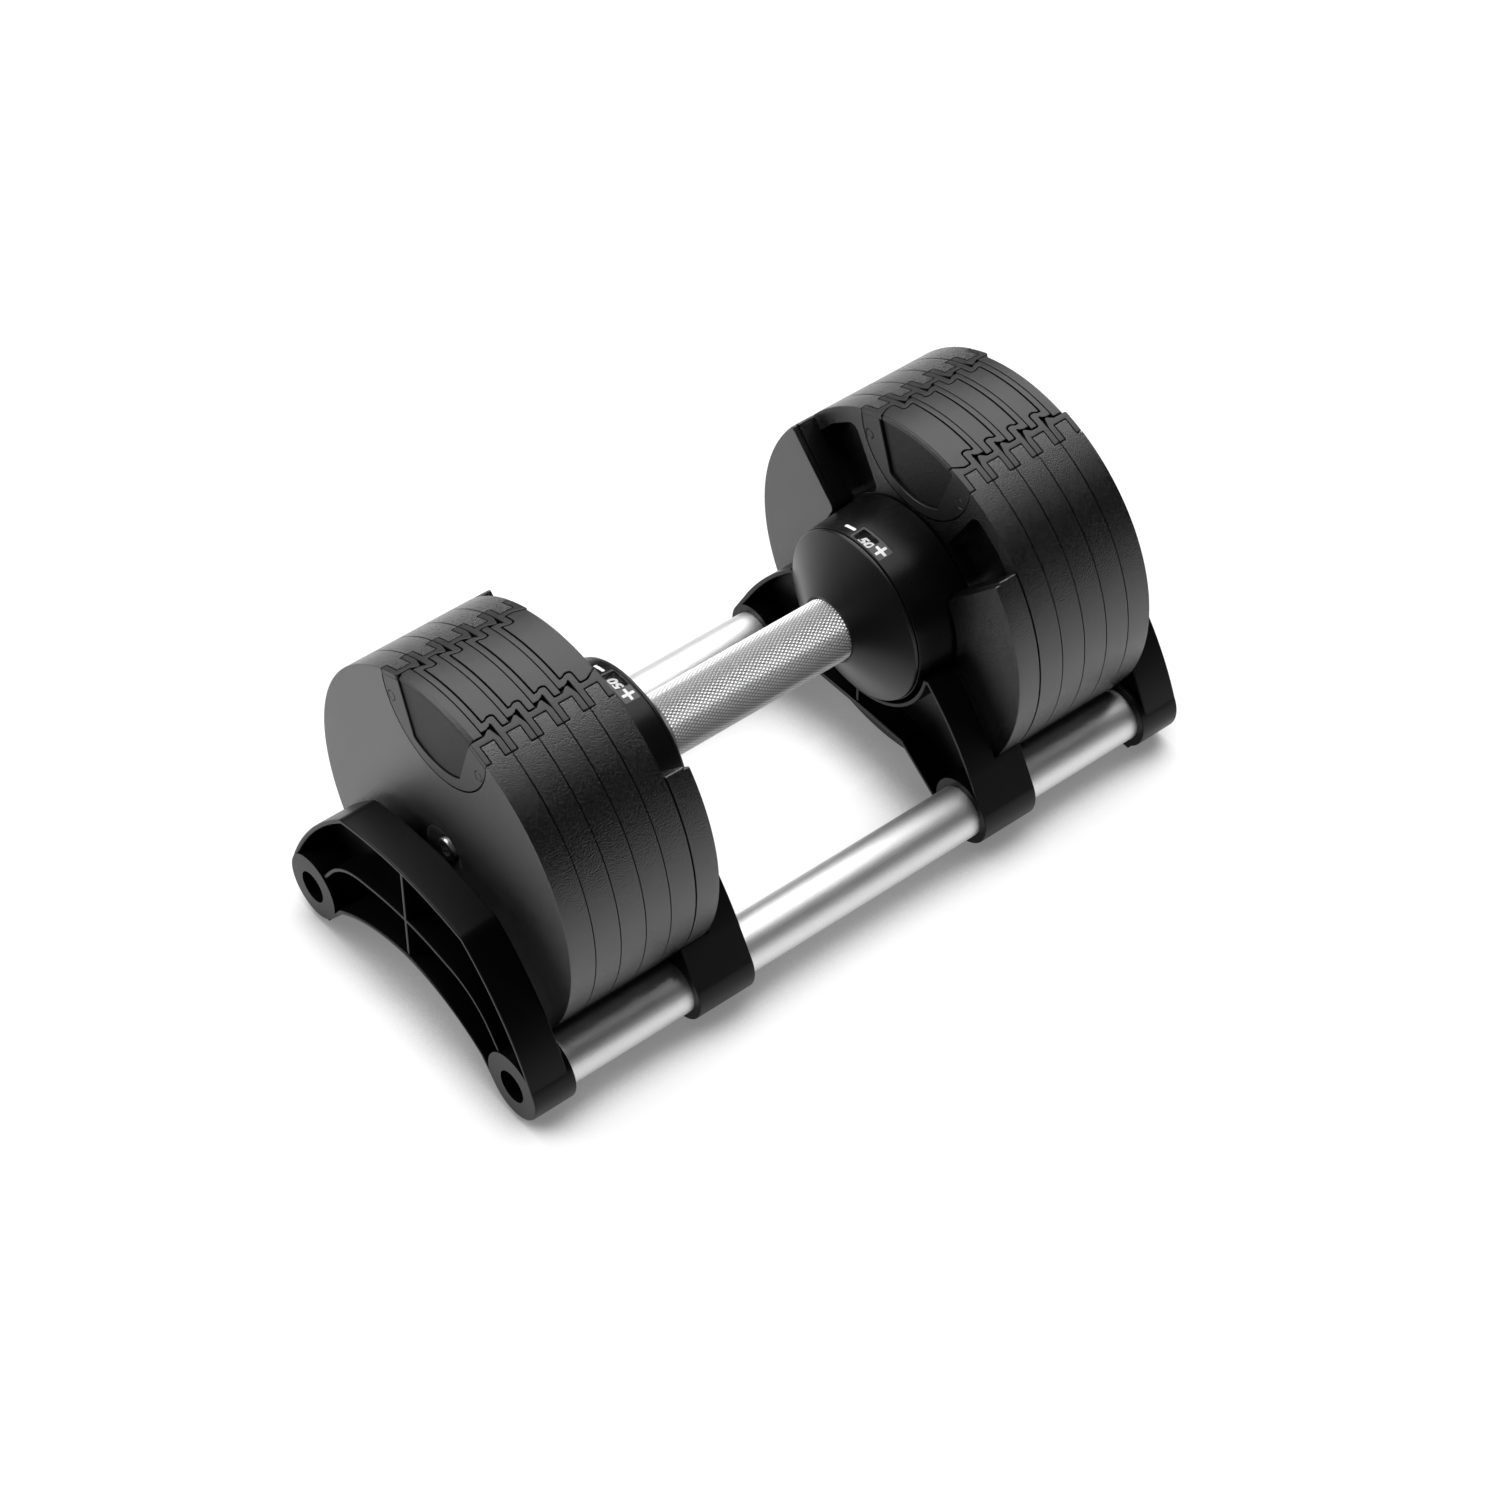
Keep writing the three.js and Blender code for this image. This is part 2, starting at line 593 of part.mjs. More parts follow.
// Points on an arc of given radius from one point to another, bulging to the right of the way it runs.
function arcPoints(from, to, radius, count) {
  const chord = to.clone().sub(from);
  const half = chord.length() / 2;
  const normal = new THREE.Vector2(-chord.y, chord.x).normalize();
  const middle = from.clone().addScaledVector(chord, 0.5);
  const centre = middle.clone().addScaledVector(normal, Math.sqrt(radius ** 2 - half ** 2));
  const start = from.clone().sub(centre).angle();
  const sweep = 2 * Math.asin(half / radius);
  return Array.from({ length: count + 1 }, (_, i) => {
    const angle = start + (sweep * i) / count;
    return new THREE.Vector2(centre.x + radius * Math.cos(angle), centre.y + radius * Math.sin(angle));
  });
}

const point = (y, z) => new THREE.Vector2(y, z);

// A point on the boss, at an angle from straight out.
function bossPoint(angle) {
  const turn = radians(angle);
  return point(TUBE_SPREAD + BOSS_RADIUS * Math.cos(turn), -TUBE_DROP + BOSS_RADIUS * Math.sin(turn));
}

// Half outline of an end bracket, from the middle of its arch round to the middle of its crown.
function endOutline() {
  const archFoot = point(ARCH_HALF, ARCH_RISE - ARCH_DROP);
  const shoulder = point(SHOULDER_HALF, SHOULDER_RISE);
  const arch = arcPoints(archFoot, point(0, ARCH_RISE), ARCH_RADIUS, 6).reverse();
  return mirroredOutline([
    ...arch,
    bossPoint(BOSS_ENTRY_ANGLE),
    bossPoint(BOSS_LOW_ANGLE),
    ...arcPoints(bossPoint(BOSS_EXIT_ANGLE), shoulder, FLANK_RADIUS, 7),
    ...arcPoints(shoulder, point(0, CROWN_RISE), CROWN_RADIUS, 4).slice(1),
  ]);
}

function tubeBoss(x0, x1, radius, segments = ROUND_SEGMENTS) {
  return barX(x0, x1, radius, 0, TUBE_SPREAD, -TUBE_DROP, segments);
}

// Both copies of a piece that stands at the front and at the rear.
function frontAndRear(body) {
  return body.add(body.mirror([0, 1, 0]));
}

const outlineShape = (points) => new THREE.Shape(points);

// A rib of the bracket's wall thickness along a path, through its full depth.
function ribX(path, x0, x1) {
  const points = path.getPoints(4);
  const offset = (side) => points.map((here, i) => {
    const before = points[Math.max(i - 1, 0)];
    const after = points[Math.min(i + 1, points.length - 1)];
    const along = after.clone().sub(before).normalize();
    return here.clone().add(point(-along.y, along.x).multiplyScalar(side * RIB_THICKNESS / 2));
  });
  return extrudeX(outlineShape([...offset(-1), ...offset(1).reverse()]), x0, x1);
}

// The arched rib between the two bosses of an end bracket.
function midRibPath() {
  const path = new THREE.Path();
  path.moveTo(-TUBE_SPREAD, -TUBE_DROP);
  path.lineTo(-MID_RIB_KNEE, MID_RIB_RISE - MID_RIB_SAG);
  path.quadraticCurveTo(-MID_RIB_HALF, MID_RIB_RISE, 0, MID_RIB_RISE);
  path.quadraticCurveTo(MID_RIB_HALF, MID_RIB_RISE, MID_RIB_KNEE, MID_RIB_RISE - MID_RIB_SAG);
  path.lineTo(TUBE_SPREAD, -TUBE_DROP);
  return path;
}

function endBracket() {
  const outline = endOutline();
  const floor = END_BRACKET_X + BRACKET_WEB;
  const tubeStop = END_BRACKET_X + TUBE_SOCKET_DEPTH;
  const past = END_FACE_X + PAST;
  const ribs = ribX(midRibPath(), floor, END_FACE_X - RIB_SETBACK)
    .add(box(floor, END_FACE_X - RIB_SETBACK, -RIB_THICKNESS / 2, RIB_THICKNESS / 2, ARCH_RISE, CROWN_RISE));
  const cavity = extrudeX(outlineShape(inset(outline, BRACKET_WALL)), floor, past)
    .subtract(frontAndRear(tubeBoss(floor - PAST, past + PAST, BOSS_RADIUS)))
    .subtract(ribs);
  const body = extrudeX(outlineShape(outline), END_BRACKET_X, END_FACE_X)
    .add(frontAndRear(tubeBoss(END_BRACKET_X, END_FACE_X, BOSS_RADIUS)));
  return body
    .subtract(cavity)
    .subtract(frontAndRear(tubeBoss(END_BRACKET_X - PAST, tubeStop, TUBE_RADIUS + GAP)))
    .subtract(frontAndRear(tubeBoss(SCREW_SEAT_X, past, SCREW_POCKET_RADIUS, INNER_SEGMENTS)))
    .subtract(frontAndRear(tubeBoss(END_BRACKET_X, SCREW_SEAT_X + PAST, SCREW_RADIUS + GAP, SMALL_SEGMENTS)));
}

// Half outline of a saddle bracket, from the middle of its floor round its horn to the middle of its cup.
function saddleOutline() {
  const horn = Math.asin(SADDLE_HORN_RISE / CUP_RADIUS);
  const inner = point(CUP_RADIUS * Math.cos(horn), SADDLE_HORN_RISE);
  const outer = point(inner.x + SADDLE_HORN_WIDTH, SADDLE_HORN_RISE + SADDLE_HORN_SLOPE);
  const cup = Array.from({ length: 10 }, (_, i) => {
    const angle = horn + ((-Math.PI / 2 - horn) * i) / 9;
    return point(CUP_RADIUS * Math.cos(angle), CUP_RADIUS * Math.sin(angle));
  });
  return mirroredOutline([
    point(0, SADDLE_FLOOR_RISE),
    point(SADDLE_FLOOR_HALF, SADDLE_FLOOR_RISE),
    bossPoint(BOSS_ENTRY_ANGLE),
    bossPoint(BOSS_LOW_ANGLE),
    bossPoint(SADDLE_EXIT_ANGLE),
    ...arcPoints(point(SADDLE_CREASE_HALF, SADDLE_CREASE_RISE), outer, SADDLE_FLANK_RADIUS, 5),
    ...cup,
  ]);
}

function saddleBracket() {
  const outline = saddleOutline();
  const web = SADDLE_BACK_X - BRACKET_WEB;
  const bossEnd = SADDLE_FACE_X + SADDLE_BOSS_LENGTH;
  const rib = box(SADDLE_FACE_X + RIB_SETBACK, web, -RIB_THICKNESS / 2, RIB_THICKNESS / 2,
    SADDLE_FLOOR_RISE, -CUP_RADIUS);
  const cavity = extrudeX(outlineShape(inset(outline, BRACKET_WALL)), SADDLE_FACE_X - PAST, web)
    .subtract(frontAndRear(tubeBoss(SADDLE_FACE_X - 2 * PAST, web + PAST, BOSS_RADIUS)))
    .subtract(rib);
  return extrudeX(outlineShape(outline), SADDLE_FACE_X, bossEnd)
    .add(frontAndRear(tubeBoss(SADDLE_FACE_X, bossEnd, BOSS_RADIUS)))
    .subtract(barX(SADDLE_BACK_X, bossEnd + PAST, PLATE_RADIUS + GAP, 0, 0, 0, RIM_SEGMENTS))
    .subtract(cavity)
    .subtract(frontAndRear(tubeBoss(SADDLE_FACE_X - PAST, bossEnd + PAST, TUBE_RADIUS + GAP)));
}

// A tube with a thick, drilled wall in each end for the bracket's screw.
function cradleTube(side) {
  const bore = barX(-TUBE_END_X + TUBE_END_WALL, TUBE_END_X - TUBE_END_WALL, TUBE_RADIUS - TUBE_WALL);
  const drill = barX(-TUBE_END_X - PAST, TUBE_END_X + PAST, SCREW_RADIUS + GAP, 0, 0, 0, SMALL_SEGMENTS);
  return barX(-TUBE_END_X, TUBE_END_X, TUBE_RADIUS)
    .subtract(bore)
    .subtract(drill)
    .translate([0, side * TUBE_SPREAD, -TUBE_DROP]);
}

function tubeScrew(side) {
  const seat = SCREW_SEAT_X + GAP;
  const top = seat + SCREW_HEAD_HEIGHT;
  return barX(seat - SCREW_LENGTH, seat + PAST, SCREW_RADIUS, 0, 0, 0, SMALL_SEGMENTS)
    .add(barX(seat, top, SCREW_HEAD_RADIUS, 0, 0, 0, SMALL_SEGMENTS))
    .subtract(barX(top - SCREW_HEAD_HEIGHT / 2, top + PAST, SCREW_HEAD_RADIUS / 2, 0, 0, 0, 6))
    .translate([0, side * TUBE_SPREAD, -TUBE_DROP]);
}

// A rubber foot moulded to the underside of a boss, with a flat sole.
function foot(side) {
  const x0 = (END_BRACKET_X + END_FACE_X - FOOT_LENGTH) / 2;
  const pad = box(x0, x0 + FOOT_LENGTH, TUBE_SPREAD - FOOT_WIDTH / 2, TUBE_SPREAD + FOOT_WIDTH / 2,
    -AXIS_Z, -TUBE_DROP - BOSS_RADIUS + FOOT_SEAT)
    .subtract(tubeBoss(x0 - PAST, x0 + FOOT_LENGTH + PAST, BOSS_RADIUS + GAP));
  return side > 0 ? pad : pad.mirror([0, 1, 0]);
}

addPair('end_bracket', endBracket(), satinBlack);
addPair('saddle_bracket', saddleBracket(), satinBlack);
for (const [place, side] of [['front', -1], ['rear', 1]]) {
  add(`cradle_tube_${place}`, cradleTube(side), satinAluminium);
  addPair(`tube_screw_${place}`, tubeScrew(side), darkSteel);
  addPair(`foot_${place}`, foot(side), rubber);
}

export default model;
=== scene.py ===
# %% [markdown]
# # An adjustable dumbbell resting in its cradle
# The dumbbell has two heads of six stacked plates on a knurled handle, and it lies in a cradle of two
# tubes and four moulded brackets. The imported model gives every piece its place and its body, so it is
# loaded first and nothing in it is moved. Detailed pieces are then built around it, in the same frame.

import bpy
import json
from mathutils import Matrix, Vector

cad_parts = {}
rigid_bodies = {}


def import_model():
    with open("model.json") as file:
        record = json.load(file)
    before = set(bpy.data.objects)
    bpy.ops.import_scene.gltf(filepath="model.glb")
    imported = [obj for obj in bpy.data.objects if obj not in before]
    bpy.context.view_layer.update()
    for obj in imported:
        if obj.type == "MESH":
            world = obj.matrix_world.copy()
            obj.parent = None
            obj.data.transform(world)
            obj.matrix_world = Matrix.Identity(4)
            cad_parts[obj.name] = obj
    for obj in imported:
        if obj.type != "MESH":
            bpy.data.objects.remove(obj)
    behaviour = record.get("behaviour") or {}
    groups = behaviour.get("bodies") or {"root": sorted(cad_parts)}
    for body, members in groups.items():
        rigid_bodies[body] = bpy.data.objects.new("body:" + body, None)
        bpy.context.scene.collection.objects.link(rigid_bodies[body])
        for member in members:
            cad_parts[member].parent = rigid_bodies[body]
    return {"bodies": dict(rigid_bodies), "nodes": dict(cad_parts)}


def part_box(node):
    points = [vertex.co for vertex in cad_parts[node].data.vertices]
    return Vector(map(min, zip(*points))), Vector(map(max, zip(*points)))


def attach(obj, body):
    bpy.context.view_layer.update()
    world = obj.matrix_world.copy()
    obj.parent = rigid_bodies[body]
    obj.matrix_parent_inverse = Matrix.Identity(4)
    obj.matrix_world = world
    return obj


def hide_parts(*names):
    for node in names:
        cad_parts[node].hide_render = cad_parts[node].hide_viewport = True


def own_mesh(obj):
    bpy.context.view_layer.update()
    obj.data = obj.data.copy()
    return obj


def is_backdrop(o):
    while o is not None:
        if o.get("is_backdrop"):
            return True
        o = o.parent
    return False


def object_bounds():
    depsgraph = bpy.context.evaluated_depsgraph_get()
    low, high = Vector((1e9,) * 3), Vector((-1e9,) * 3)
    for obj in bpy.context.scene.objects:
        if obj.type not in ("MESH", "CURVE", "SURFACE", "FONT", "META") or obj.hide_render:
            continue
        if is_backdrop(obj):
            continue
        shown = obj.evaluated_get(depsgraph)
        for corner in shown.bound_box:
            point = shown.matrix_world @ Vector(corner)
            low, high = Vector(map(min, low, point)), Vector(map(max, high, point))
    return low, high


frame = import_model()
cad_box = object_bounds()

# %% [markdown]
# Everything on this dumbbell is laid out about the handle's axis, so the pieces are drawn in
# millimetres from that axis and set down in metres at the end. The places come from the boxes of the
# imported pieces: asking the frame keeps the visible pieces true if a size is changed.

# %% Measures from the frame
import json
import math

import bmesh
import bpy
from mathutils import Matrix, Vector

MM = 0.001
grip_low, grip_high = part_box("knurled_grip")
AXIS_Z = (grip_low.z + grip_high.z) / 2


def span(node):
    """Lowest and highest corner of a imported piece, in millimetres from the handle's axis."""
    low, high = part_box(node)
    lift = Vector((0, 0, AXIS_Z))
    return (low - lift) / MM, (high - lift) / MM


def ends(node):
    """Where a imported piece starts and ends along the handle."""
    low, high = span(node)
    return low.x, high.x


RIM = -span("weight_plate_1_right")[0].z
INNER, OUTER = ends("weight_plate_1_right")
THICK = OUTER - INNER
PITCH = OUTER - ends("weight_plate_2_right")[1]
SIDES = ((1, "right"), (-1, "left"))
print(f"plates {2 * RIM:.1f} mm across, {THICK:.2f} mm thick, one every {PITCH:.2f} mm")

# %% [markdown]
# The camera looks down on the dumbbell from its left front corner. It is made first, so that each piece
# can be judged from the same place. A long lens keeps the far head nearly as large as the near one.

# %% Camera
def new_object(name, data):
    """An object for the data, linked to the scene."""
    obj = bpy.data.objects.new(name, data)
    bpy.context.scene.collection.objects.link(obj)
    return obj


AZIMUTH, ELEVATION, ROLL = math.radians(-39.397), math.radians(45.601), math.radians(0.067)
TARGET, DISTANCE = Vector((0.00422, 0, AXIS_Z - 0.04942)), 1.76472
LENS = 89.776

camera_data = bpy.data.cameras.new("camera")
camera_data.lens = LENS
camera_data.sensor_width = 36
camera = new_object("camera", camera_data)
backwards = Vector((
    math.sin(AZIMUTH) * math.cos(ELEVATION),
    -math.cos(AZIMUTH) * math.cos(ELEVATION),
    math.sin(ELEVATION),
))
camera.location = TARGET + backwards * DISTANCE
camera.rotation_euler = (-backwards).to_track_quat("-Z", "Y").to_euler()
camera.rotation_euler.rotate_axis("Z", ROLL)
bpy.context.scene.camera = camera
print("camera at", [round(v, 3) for v in camera.location])

# %% [markdown]
# Cast and moulded pieces never have knife edges. Their outlines are drawn as corners with a radius, and
# one helper turns such corners into arcs. Rounding the drawing before it becomes a solid is more certain
# than beveling a finished mesh, where short edges make the bevel overlap itself.

# %% Rounded outlines
def arc(centre, radius, start, end, steps):
    """Points on an arc, from one angle to another in degrees."""
    turns = [math.radians(start + (end - start) * i / steps) for i in range(steps + 1)]
    return [(centre[0] + radius * math.cos(t), centre[1] + radius * math.sin(t)) for t in turns]


def circle(centre, radius, sides=24):
    """Points all the way round a circle."""
    return arc(centre, radius, 0, 360 - 360 / sides, sides - 1)


def bow(first, last, radius, steps):
    """Points on an arc between two points, bulging to the right of the way it runs."""
    first, last = Vector(first), Vector(last)
    chord = last - first
    half = chord.length / 2
    normal = Vector((-chord.y, chord.x)).normalized()
    centre = first + chord / 2 + normal * math.sqrt(radius ** 2 - half ** 2)
    start = math.degrees(math.atan2(first.y - centre.y, first.x - centre.x))
    return arc(centre, radius, start, start + math.degrees(2 * math.asin(half / radius)), steps)


def rounded(corners, steps=4):
    """A closed outline from corners (a, b, radius); a corner without a radius stays sharp."""
    outline = []
    for i, corner in enumerate(corners):
        here = Vector(corner[:2])
        radius = corner[2] if len(corner) > 2 else 0
        back = Vector(corners[i - 1][:2]) - here
        ahead = Vector(corners[(i + 1) % len(corners)][:2]) - here
        half = back.angle(ahead) / 2
        if radius <= 0 or half > 1.5:
            outline.append(tuple(here))
            continue
        reach = min(radius / math.tan(half), 0.48 * back.length, 0.48 * ahead.length)
        centre = here + (back.normalized() + ahead.normalized()).normalized() * reach / math.cos(half)
        first = here + back.normalized() * reach - centre
        last = here + ahead.normalized() * reach - centre
        start = math.degrees(math.atan2(first.y, first.x))
        sweep = math.degrees(math.atan2(last.y, last.x)) - start
        sweep = (sweep + 180) % 360 - 180
        outline += arc(centre, first.length, start, start + sweep, steps)
    return outline


def both_halves(half, axis=1):
    """A closed list of corners from one half of it, mirrored in its first or second value."""
    flip = (1, -1) if axis else (-1, 1)
    return half + [(a * flip[0], b * flip[1], *radius) for a, b, *radius in reversed(half)]


test_square = rounded([(0, 0, .5), (2, 0, .5), (2, 2, .5), (0, 2, .5)])
print("a square of side 2 rounded by 0.5 has", len(test_square), "points")

# %% [markdown]
# Nearly every piece is a flat outline given a thickness. The helper below raises an outline, with holes
# if it has them, and rounds its lower and upper edges by shrinking the outline in small steps. It gives
# one closed skin, which the exact cuts further down need.

# %% Raised solids
def shrunk(ring, inset):
    """The ring with every side moved inwards; rings that run clockwise grow."""
    if not inset:
        return ring
    points = []
    for i, here in enumerate(ring):
        here = Vector(here)
        a = (here - Vector(ring[i - 1])).normalized()
        b = (Vector(ring[(i + 1) % len(ring)]) - here).normalized()
        normal = Vector((-a.y - b.y, a.x + b.x)).normalized()
        points.append(tuple(here + normal * inset / max(0.3, normal.dot(Vector((-a.y, a.x))))))
    return points


def wound(ring, anticlockwise):
    """The ring without doubled points, running the asked way round."""
    ring = [p for i, p in enumerate(ring) if (Vector(p) - Vector(ring[i - 1])).length > 1e-4]
    area = sum(ring[i - 1][0] * p[1] - p[0] * ring[i - 1][1] for i, p in enumerate(ring))
    return ring if (area > 0) == anticlockwise else ring[::-1]


def levels(low, high, edges, steps):
    """Heights and insets of the loops that round a lower and an upper edge."""
    rise = [(i / steps) * math.pi / 2 for i in range(steps + 1)]
    lower = [(low + edges[0] * (1 - math.cos(t)), edges[0] * (1 - math.sin(t))) for t in rise]
    upper = [(high - edges[1] * (1 - math.sin(t)), edges[1] * (1 - math.cos(t))) for t in rise]
    return (lower if edges[0] else [(low, 0)]) + (upper if edges[1] else [(high, 0)])


def raised(rings, low, high, edges=(0, 0), steps=1):
    """A closed solid: the first ring is its outline and the others are holes."""
    bm = bmesh.new()
    bottoms, tops = [], []
    for number, ring in enumerate(rings):
        ring = wound(ring, number == 0)
        loops = []
        for height, inset in levels(low, high, edges, steps):
            loops.append([bm.verts.new((a, b, height)) for a, b in shrunk(ring, inset)])
        for lower, upper in zip(loops, loops[1:]):
            for i in range(len(ring)):
                bm.faces.new((lower[i - 1], lower[i], upper[i], upper[i - 1]))
        bottoms.append(loops[0])
        tops.append(loops[-1])
    for loops in (bottoms, tops):
        if len(loops) == 1:
            bm.faces.new(loops[0])
            continue
        edge_list = [bm.edges.get((loop[i - 1], loop[i])) for loop in loops for i in range(len(loop))]
        bmesh.ops.triangle_fill(bm, use_beauty=True, edges=edge_list)
    bmesh.ops.recalc_face_normals(bm, faces=bm.faces)
    return bm


def along_x(bm):
    """Stands a raised solid on its side: its drawing becomes (y, z) and its height runs along X."""
    for vert in bm.verts:
        vert.co = Vector((vert.co.z, vert.co.x, vert.co.y))
    return bm


def slab(rings, low, high, edges=(0, 0), steps=1):
    """Outlines drawn in (y, z), given their thickness along the handle."""
    return along_x(raised(rings, low, high, edges, steps))


def turned(profile, segments=96):
    """A closed profile of (x, radius) points, turned about the handle's axis."""
    bm = bmesh.new()
    spokes = []
    for k in range(segments):
        t = 2 * math.pi * k / segments
        spokes.append([bm.verts.new((x, r * math.sin(t), r * math.cos(t))) for x, r, *_ in profile])
    for k in range(segments):
        for i in range(len(profile)):
            bm.faces.new((spokes[k - 1][i - 1], spokes[k - 1][i], spokes[k][i], spokes[k][i - 1]))
    bmesh.ops.remove_doubles(bm, verts=bm.verts, dist=1e-5)
    bmesh.ops.recalc_face_normals(bm, faces=bm.faces)
    return bm


def round_bar(low, high, radius, segments):
    """A sharp-edged bar on the handle's axis."""
    return turned([(low, 0), (low, radius), (high, radius), (high, 0)], segments)


print("a test slab has", len(slab([[(0, 0), (9, 0), (9, 9), (0, 9)]], 0, 2, (.2, .2)).faces), "faces")

# %% [markdown]
# Sockets, pockets and bolt holes are cut with Blender's Boolean modifier. Its Manifold solver asks for
# closed solids, which all of these are, and in return it leaves a closed solid with clean edges.

# %% Cutting and joining
def shape_of(bm):
    """A temporary object of the solid, for the Boolean modifier."""
    mesh = bpy.data.meshes.new("shape")
    bm.to_mesh(mesh)
    return new_object("shape", mesh)


def combined(body, tools, operation):
    """The body after each tool is cut out of it or joined to it."""
    shapes = [shape_of(body)] + [shape_of(tool) for tool in tools]
    for tool in shapes[1:]:
        boolean = shapes[0].modifiers.new("cut", "BOOLEAN")
        boolean.operation = operation
        boolean.solver = "MANIFOLD"
        boolean.object = tool
    evaluated = shapes[0].evaluated_get(bpy.context.evaluated_depsgraph_get())
    result = bmesh.new()
    result.from_mesh(evaluated.to_mesh())
    evaluated.to_mesh_clear()
    for shape in shapes:
        mesh = shape.data
        bpy.data.objects.remove(shape)
        bpy.data.meshes.remove(mesh)
    return result


def cut(body, *tools):
    """The body without the tools."""
    return combined(body, tools, "DIFFERENCE")


def joined(body, *tools):
    """The body and the tools as one solid."""
    return combined(body, tools, "UNION")


def moved(bm, x=0, y=0, z=0):
    """The solid shifted by millimetres."""
    bmesh.ops.translate(bm, verts=bm.verts, vec=(x, y, z))
    return bm


def mirrored(bm, axis):
    """A mirror image of the solid: axis 0 swaps left and right, axis 1 front and rear."""
    copy = bm.copy()
    scale = [1, 1, 1]
    scale[axis] = -1
    bmesh.ops.scale(copy, verts=copy.verts, vec=scale)
    bmesh.ops.reverse_faces(copy, faces=copy.faces)
    return copy


def tinted(bm, finish=1, chosen=lambda face: True):
    """The solid with the chosen faces in another finish of its piece."""
    for face in bm.faces:
        if chosen(face):
            face.material_index = finish
    return bm


def with_mirror(bm):
    """The solid and its mirror image, front and rear."""
    return [bm, mirrored(bm, 1)]


def sliced(bm, place, normal):
    """The solid with an extra loop of edges where a plane crosses it."""
    everything = bm.verts[:] + bm.edges[:] + bm.faces[:]
    bmesh.ops.bisect_plane(bm, geom=everything, plane_co=place, plane_no=normal)
    return bm


test_disc = cut(round_bar(0, 4, 5, 24), round_bar(-1, 5, 2, 24))
print("a drilled test disc has", len(test_disc.faces), "faces")

# %% [markdown]
# A finished solid becomes an object here: it is scaled to metres, given smooth shading that breaks at real
# edges and set on its CAD body, and the imported pieces it stands for are hidden. Weighted normals keep
# the flat faces flat next to their rounded edges.

# %% From solid to piece
def add_piece(name, solids, finish, body, nodes=(), side=1, crease=32):
    """One visible piece from right-hand solids; side -1 mirrors it to the left."""
    everything = bmesh.new()
    for solid in solids:
        mesh = bpy.data.meshes.new("part")
        copy = mirrored(solid, 0) if side < 0 else solid
        copy.to_mesh(mesh)
        everything.from_mesh(mesh)
        bpy.data.meshes.remove(mesh)
    place = Matrix.Translation((0, 0, AXIS_Z)) @ Matrix.Diagonal((MM, MM, MM, 1))
    bmesh.ops.transform(everything, verts=everything.verts, matrix=place)
    bmesh.ops.dissolve_degenerate(everything, dist=2e-6, edges=everything.edges)
    mesh = bpy.data.meshes.new(name)
    everything.to_mesh(mesh)
    everything.free()
    mesh.polygons.foreach_set("use_smooth", [True] * len(mesh.polygons))
    mesh.set_sharp_from_angle(angle=math.radians(crease))
    obj = new_object(name, mesh)
    weighted = obj.modifiers.new("flat faces", "WEIGHTED_NORMAL")
    weighted.keep_sharp = True
    for material in finish if isinstance(finish, list) else [finish]:
        mesh.materials.append(material)
    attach(obj, body)
    if nodes:
        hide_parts(*nodes)
    return obj


def add_pair(name, solids, finish, body):
    """A piece and its mirror image at the other end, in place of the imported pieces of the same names."""
    for side, word in SIDES:
        own = body if body in frame["bodies"] else f"{body}_{word}"
        add_piece(f"{name}_{word}", solids, finish, own, [f"{name}_{word}"], side)
    print(name, "pair made from", len(solids), "solids")


# %% [markdown]
# # Finishes
# The black pieces are all near black, and what tells them apart is how they break up the light: cast
# plates are finely grained like leather, the blocks and brackets are moulded with a soft texture, and
# the hubs are polished. Four effects are shared between finishes, so each is a node group built once.

# %% Node helpers
def new_group(name, inputs, outputs):
    """An empty node group with float inputs and outputs, and its two ends."""
    group = bpy.data.node_groups.new(name, "ShaderNodeTree")
    for label, value in inputs:
        socket = group.interface.new_socket(label, in_out="INPUT", socket_type="NodeSocketFloat")
        socket.default_value = value
    for label in outputs:
        group.interface.new_socket(label, in_out="OUTPUT", socket_type="NodeSocketFloat")
    return group, group.nodes.new("NodeGroupInput"), group.nodes.new("NodeGroupOutput")


def add_node(tree, kind, links=(), **settings):
    """A node with its settings, and links from other sockets or plain values to its inputs."""
    made = tree.nodes.new(kind)
    for name, value in settings.items():
        setattr(made, name, value)
    for socket, source in links:
        if isinstance(source, bpy.types.NodeSocket):
            tree.links.new(source, made.inputs[socket])
        else:
            made.inputs[socket].default_value = source
    return made


def place_group(tree, group, links=()):
    """The group as a node of another tree."""
    return add_node(tree, "ShaderNodeGroup", links, node_tree=group)


def calculated(tree, operation, *values, clamp=False):
    """The result of one Math node on sockets or plain values."""
    links = enumerate(values)
    return add_node(tree, "ShaderNodeMath", links, operation=operation, use_clamp=clamp).outputs[0]


def vector_step(tree, operation, *values):
    """One Vector Math node on sockets or plain values."""
    return add_node(tree, "ShaderNodeVectorMath", enumerate(values), operation=operation)


def noise_value(tree, place, scale, **inputs):
    """The value of a noise texture at a place."""
    links = [("Vector", place), ("Scale", scale), *inputs.items()]
    return add_node(tree, "ShaderNodeTexNoise", links).outputs["Fac"]


print("node helpers ready")

# %% [markdown]
# Cast plates and moulded plastic are textured by etching the mould: tiny rounded bumps with thin valleys
# between them, like leather. Smooth Voronoi cells give the bumps, a finer noise breaks their outlines,
# and the bump height is handed to the material, which turns it into a normal.

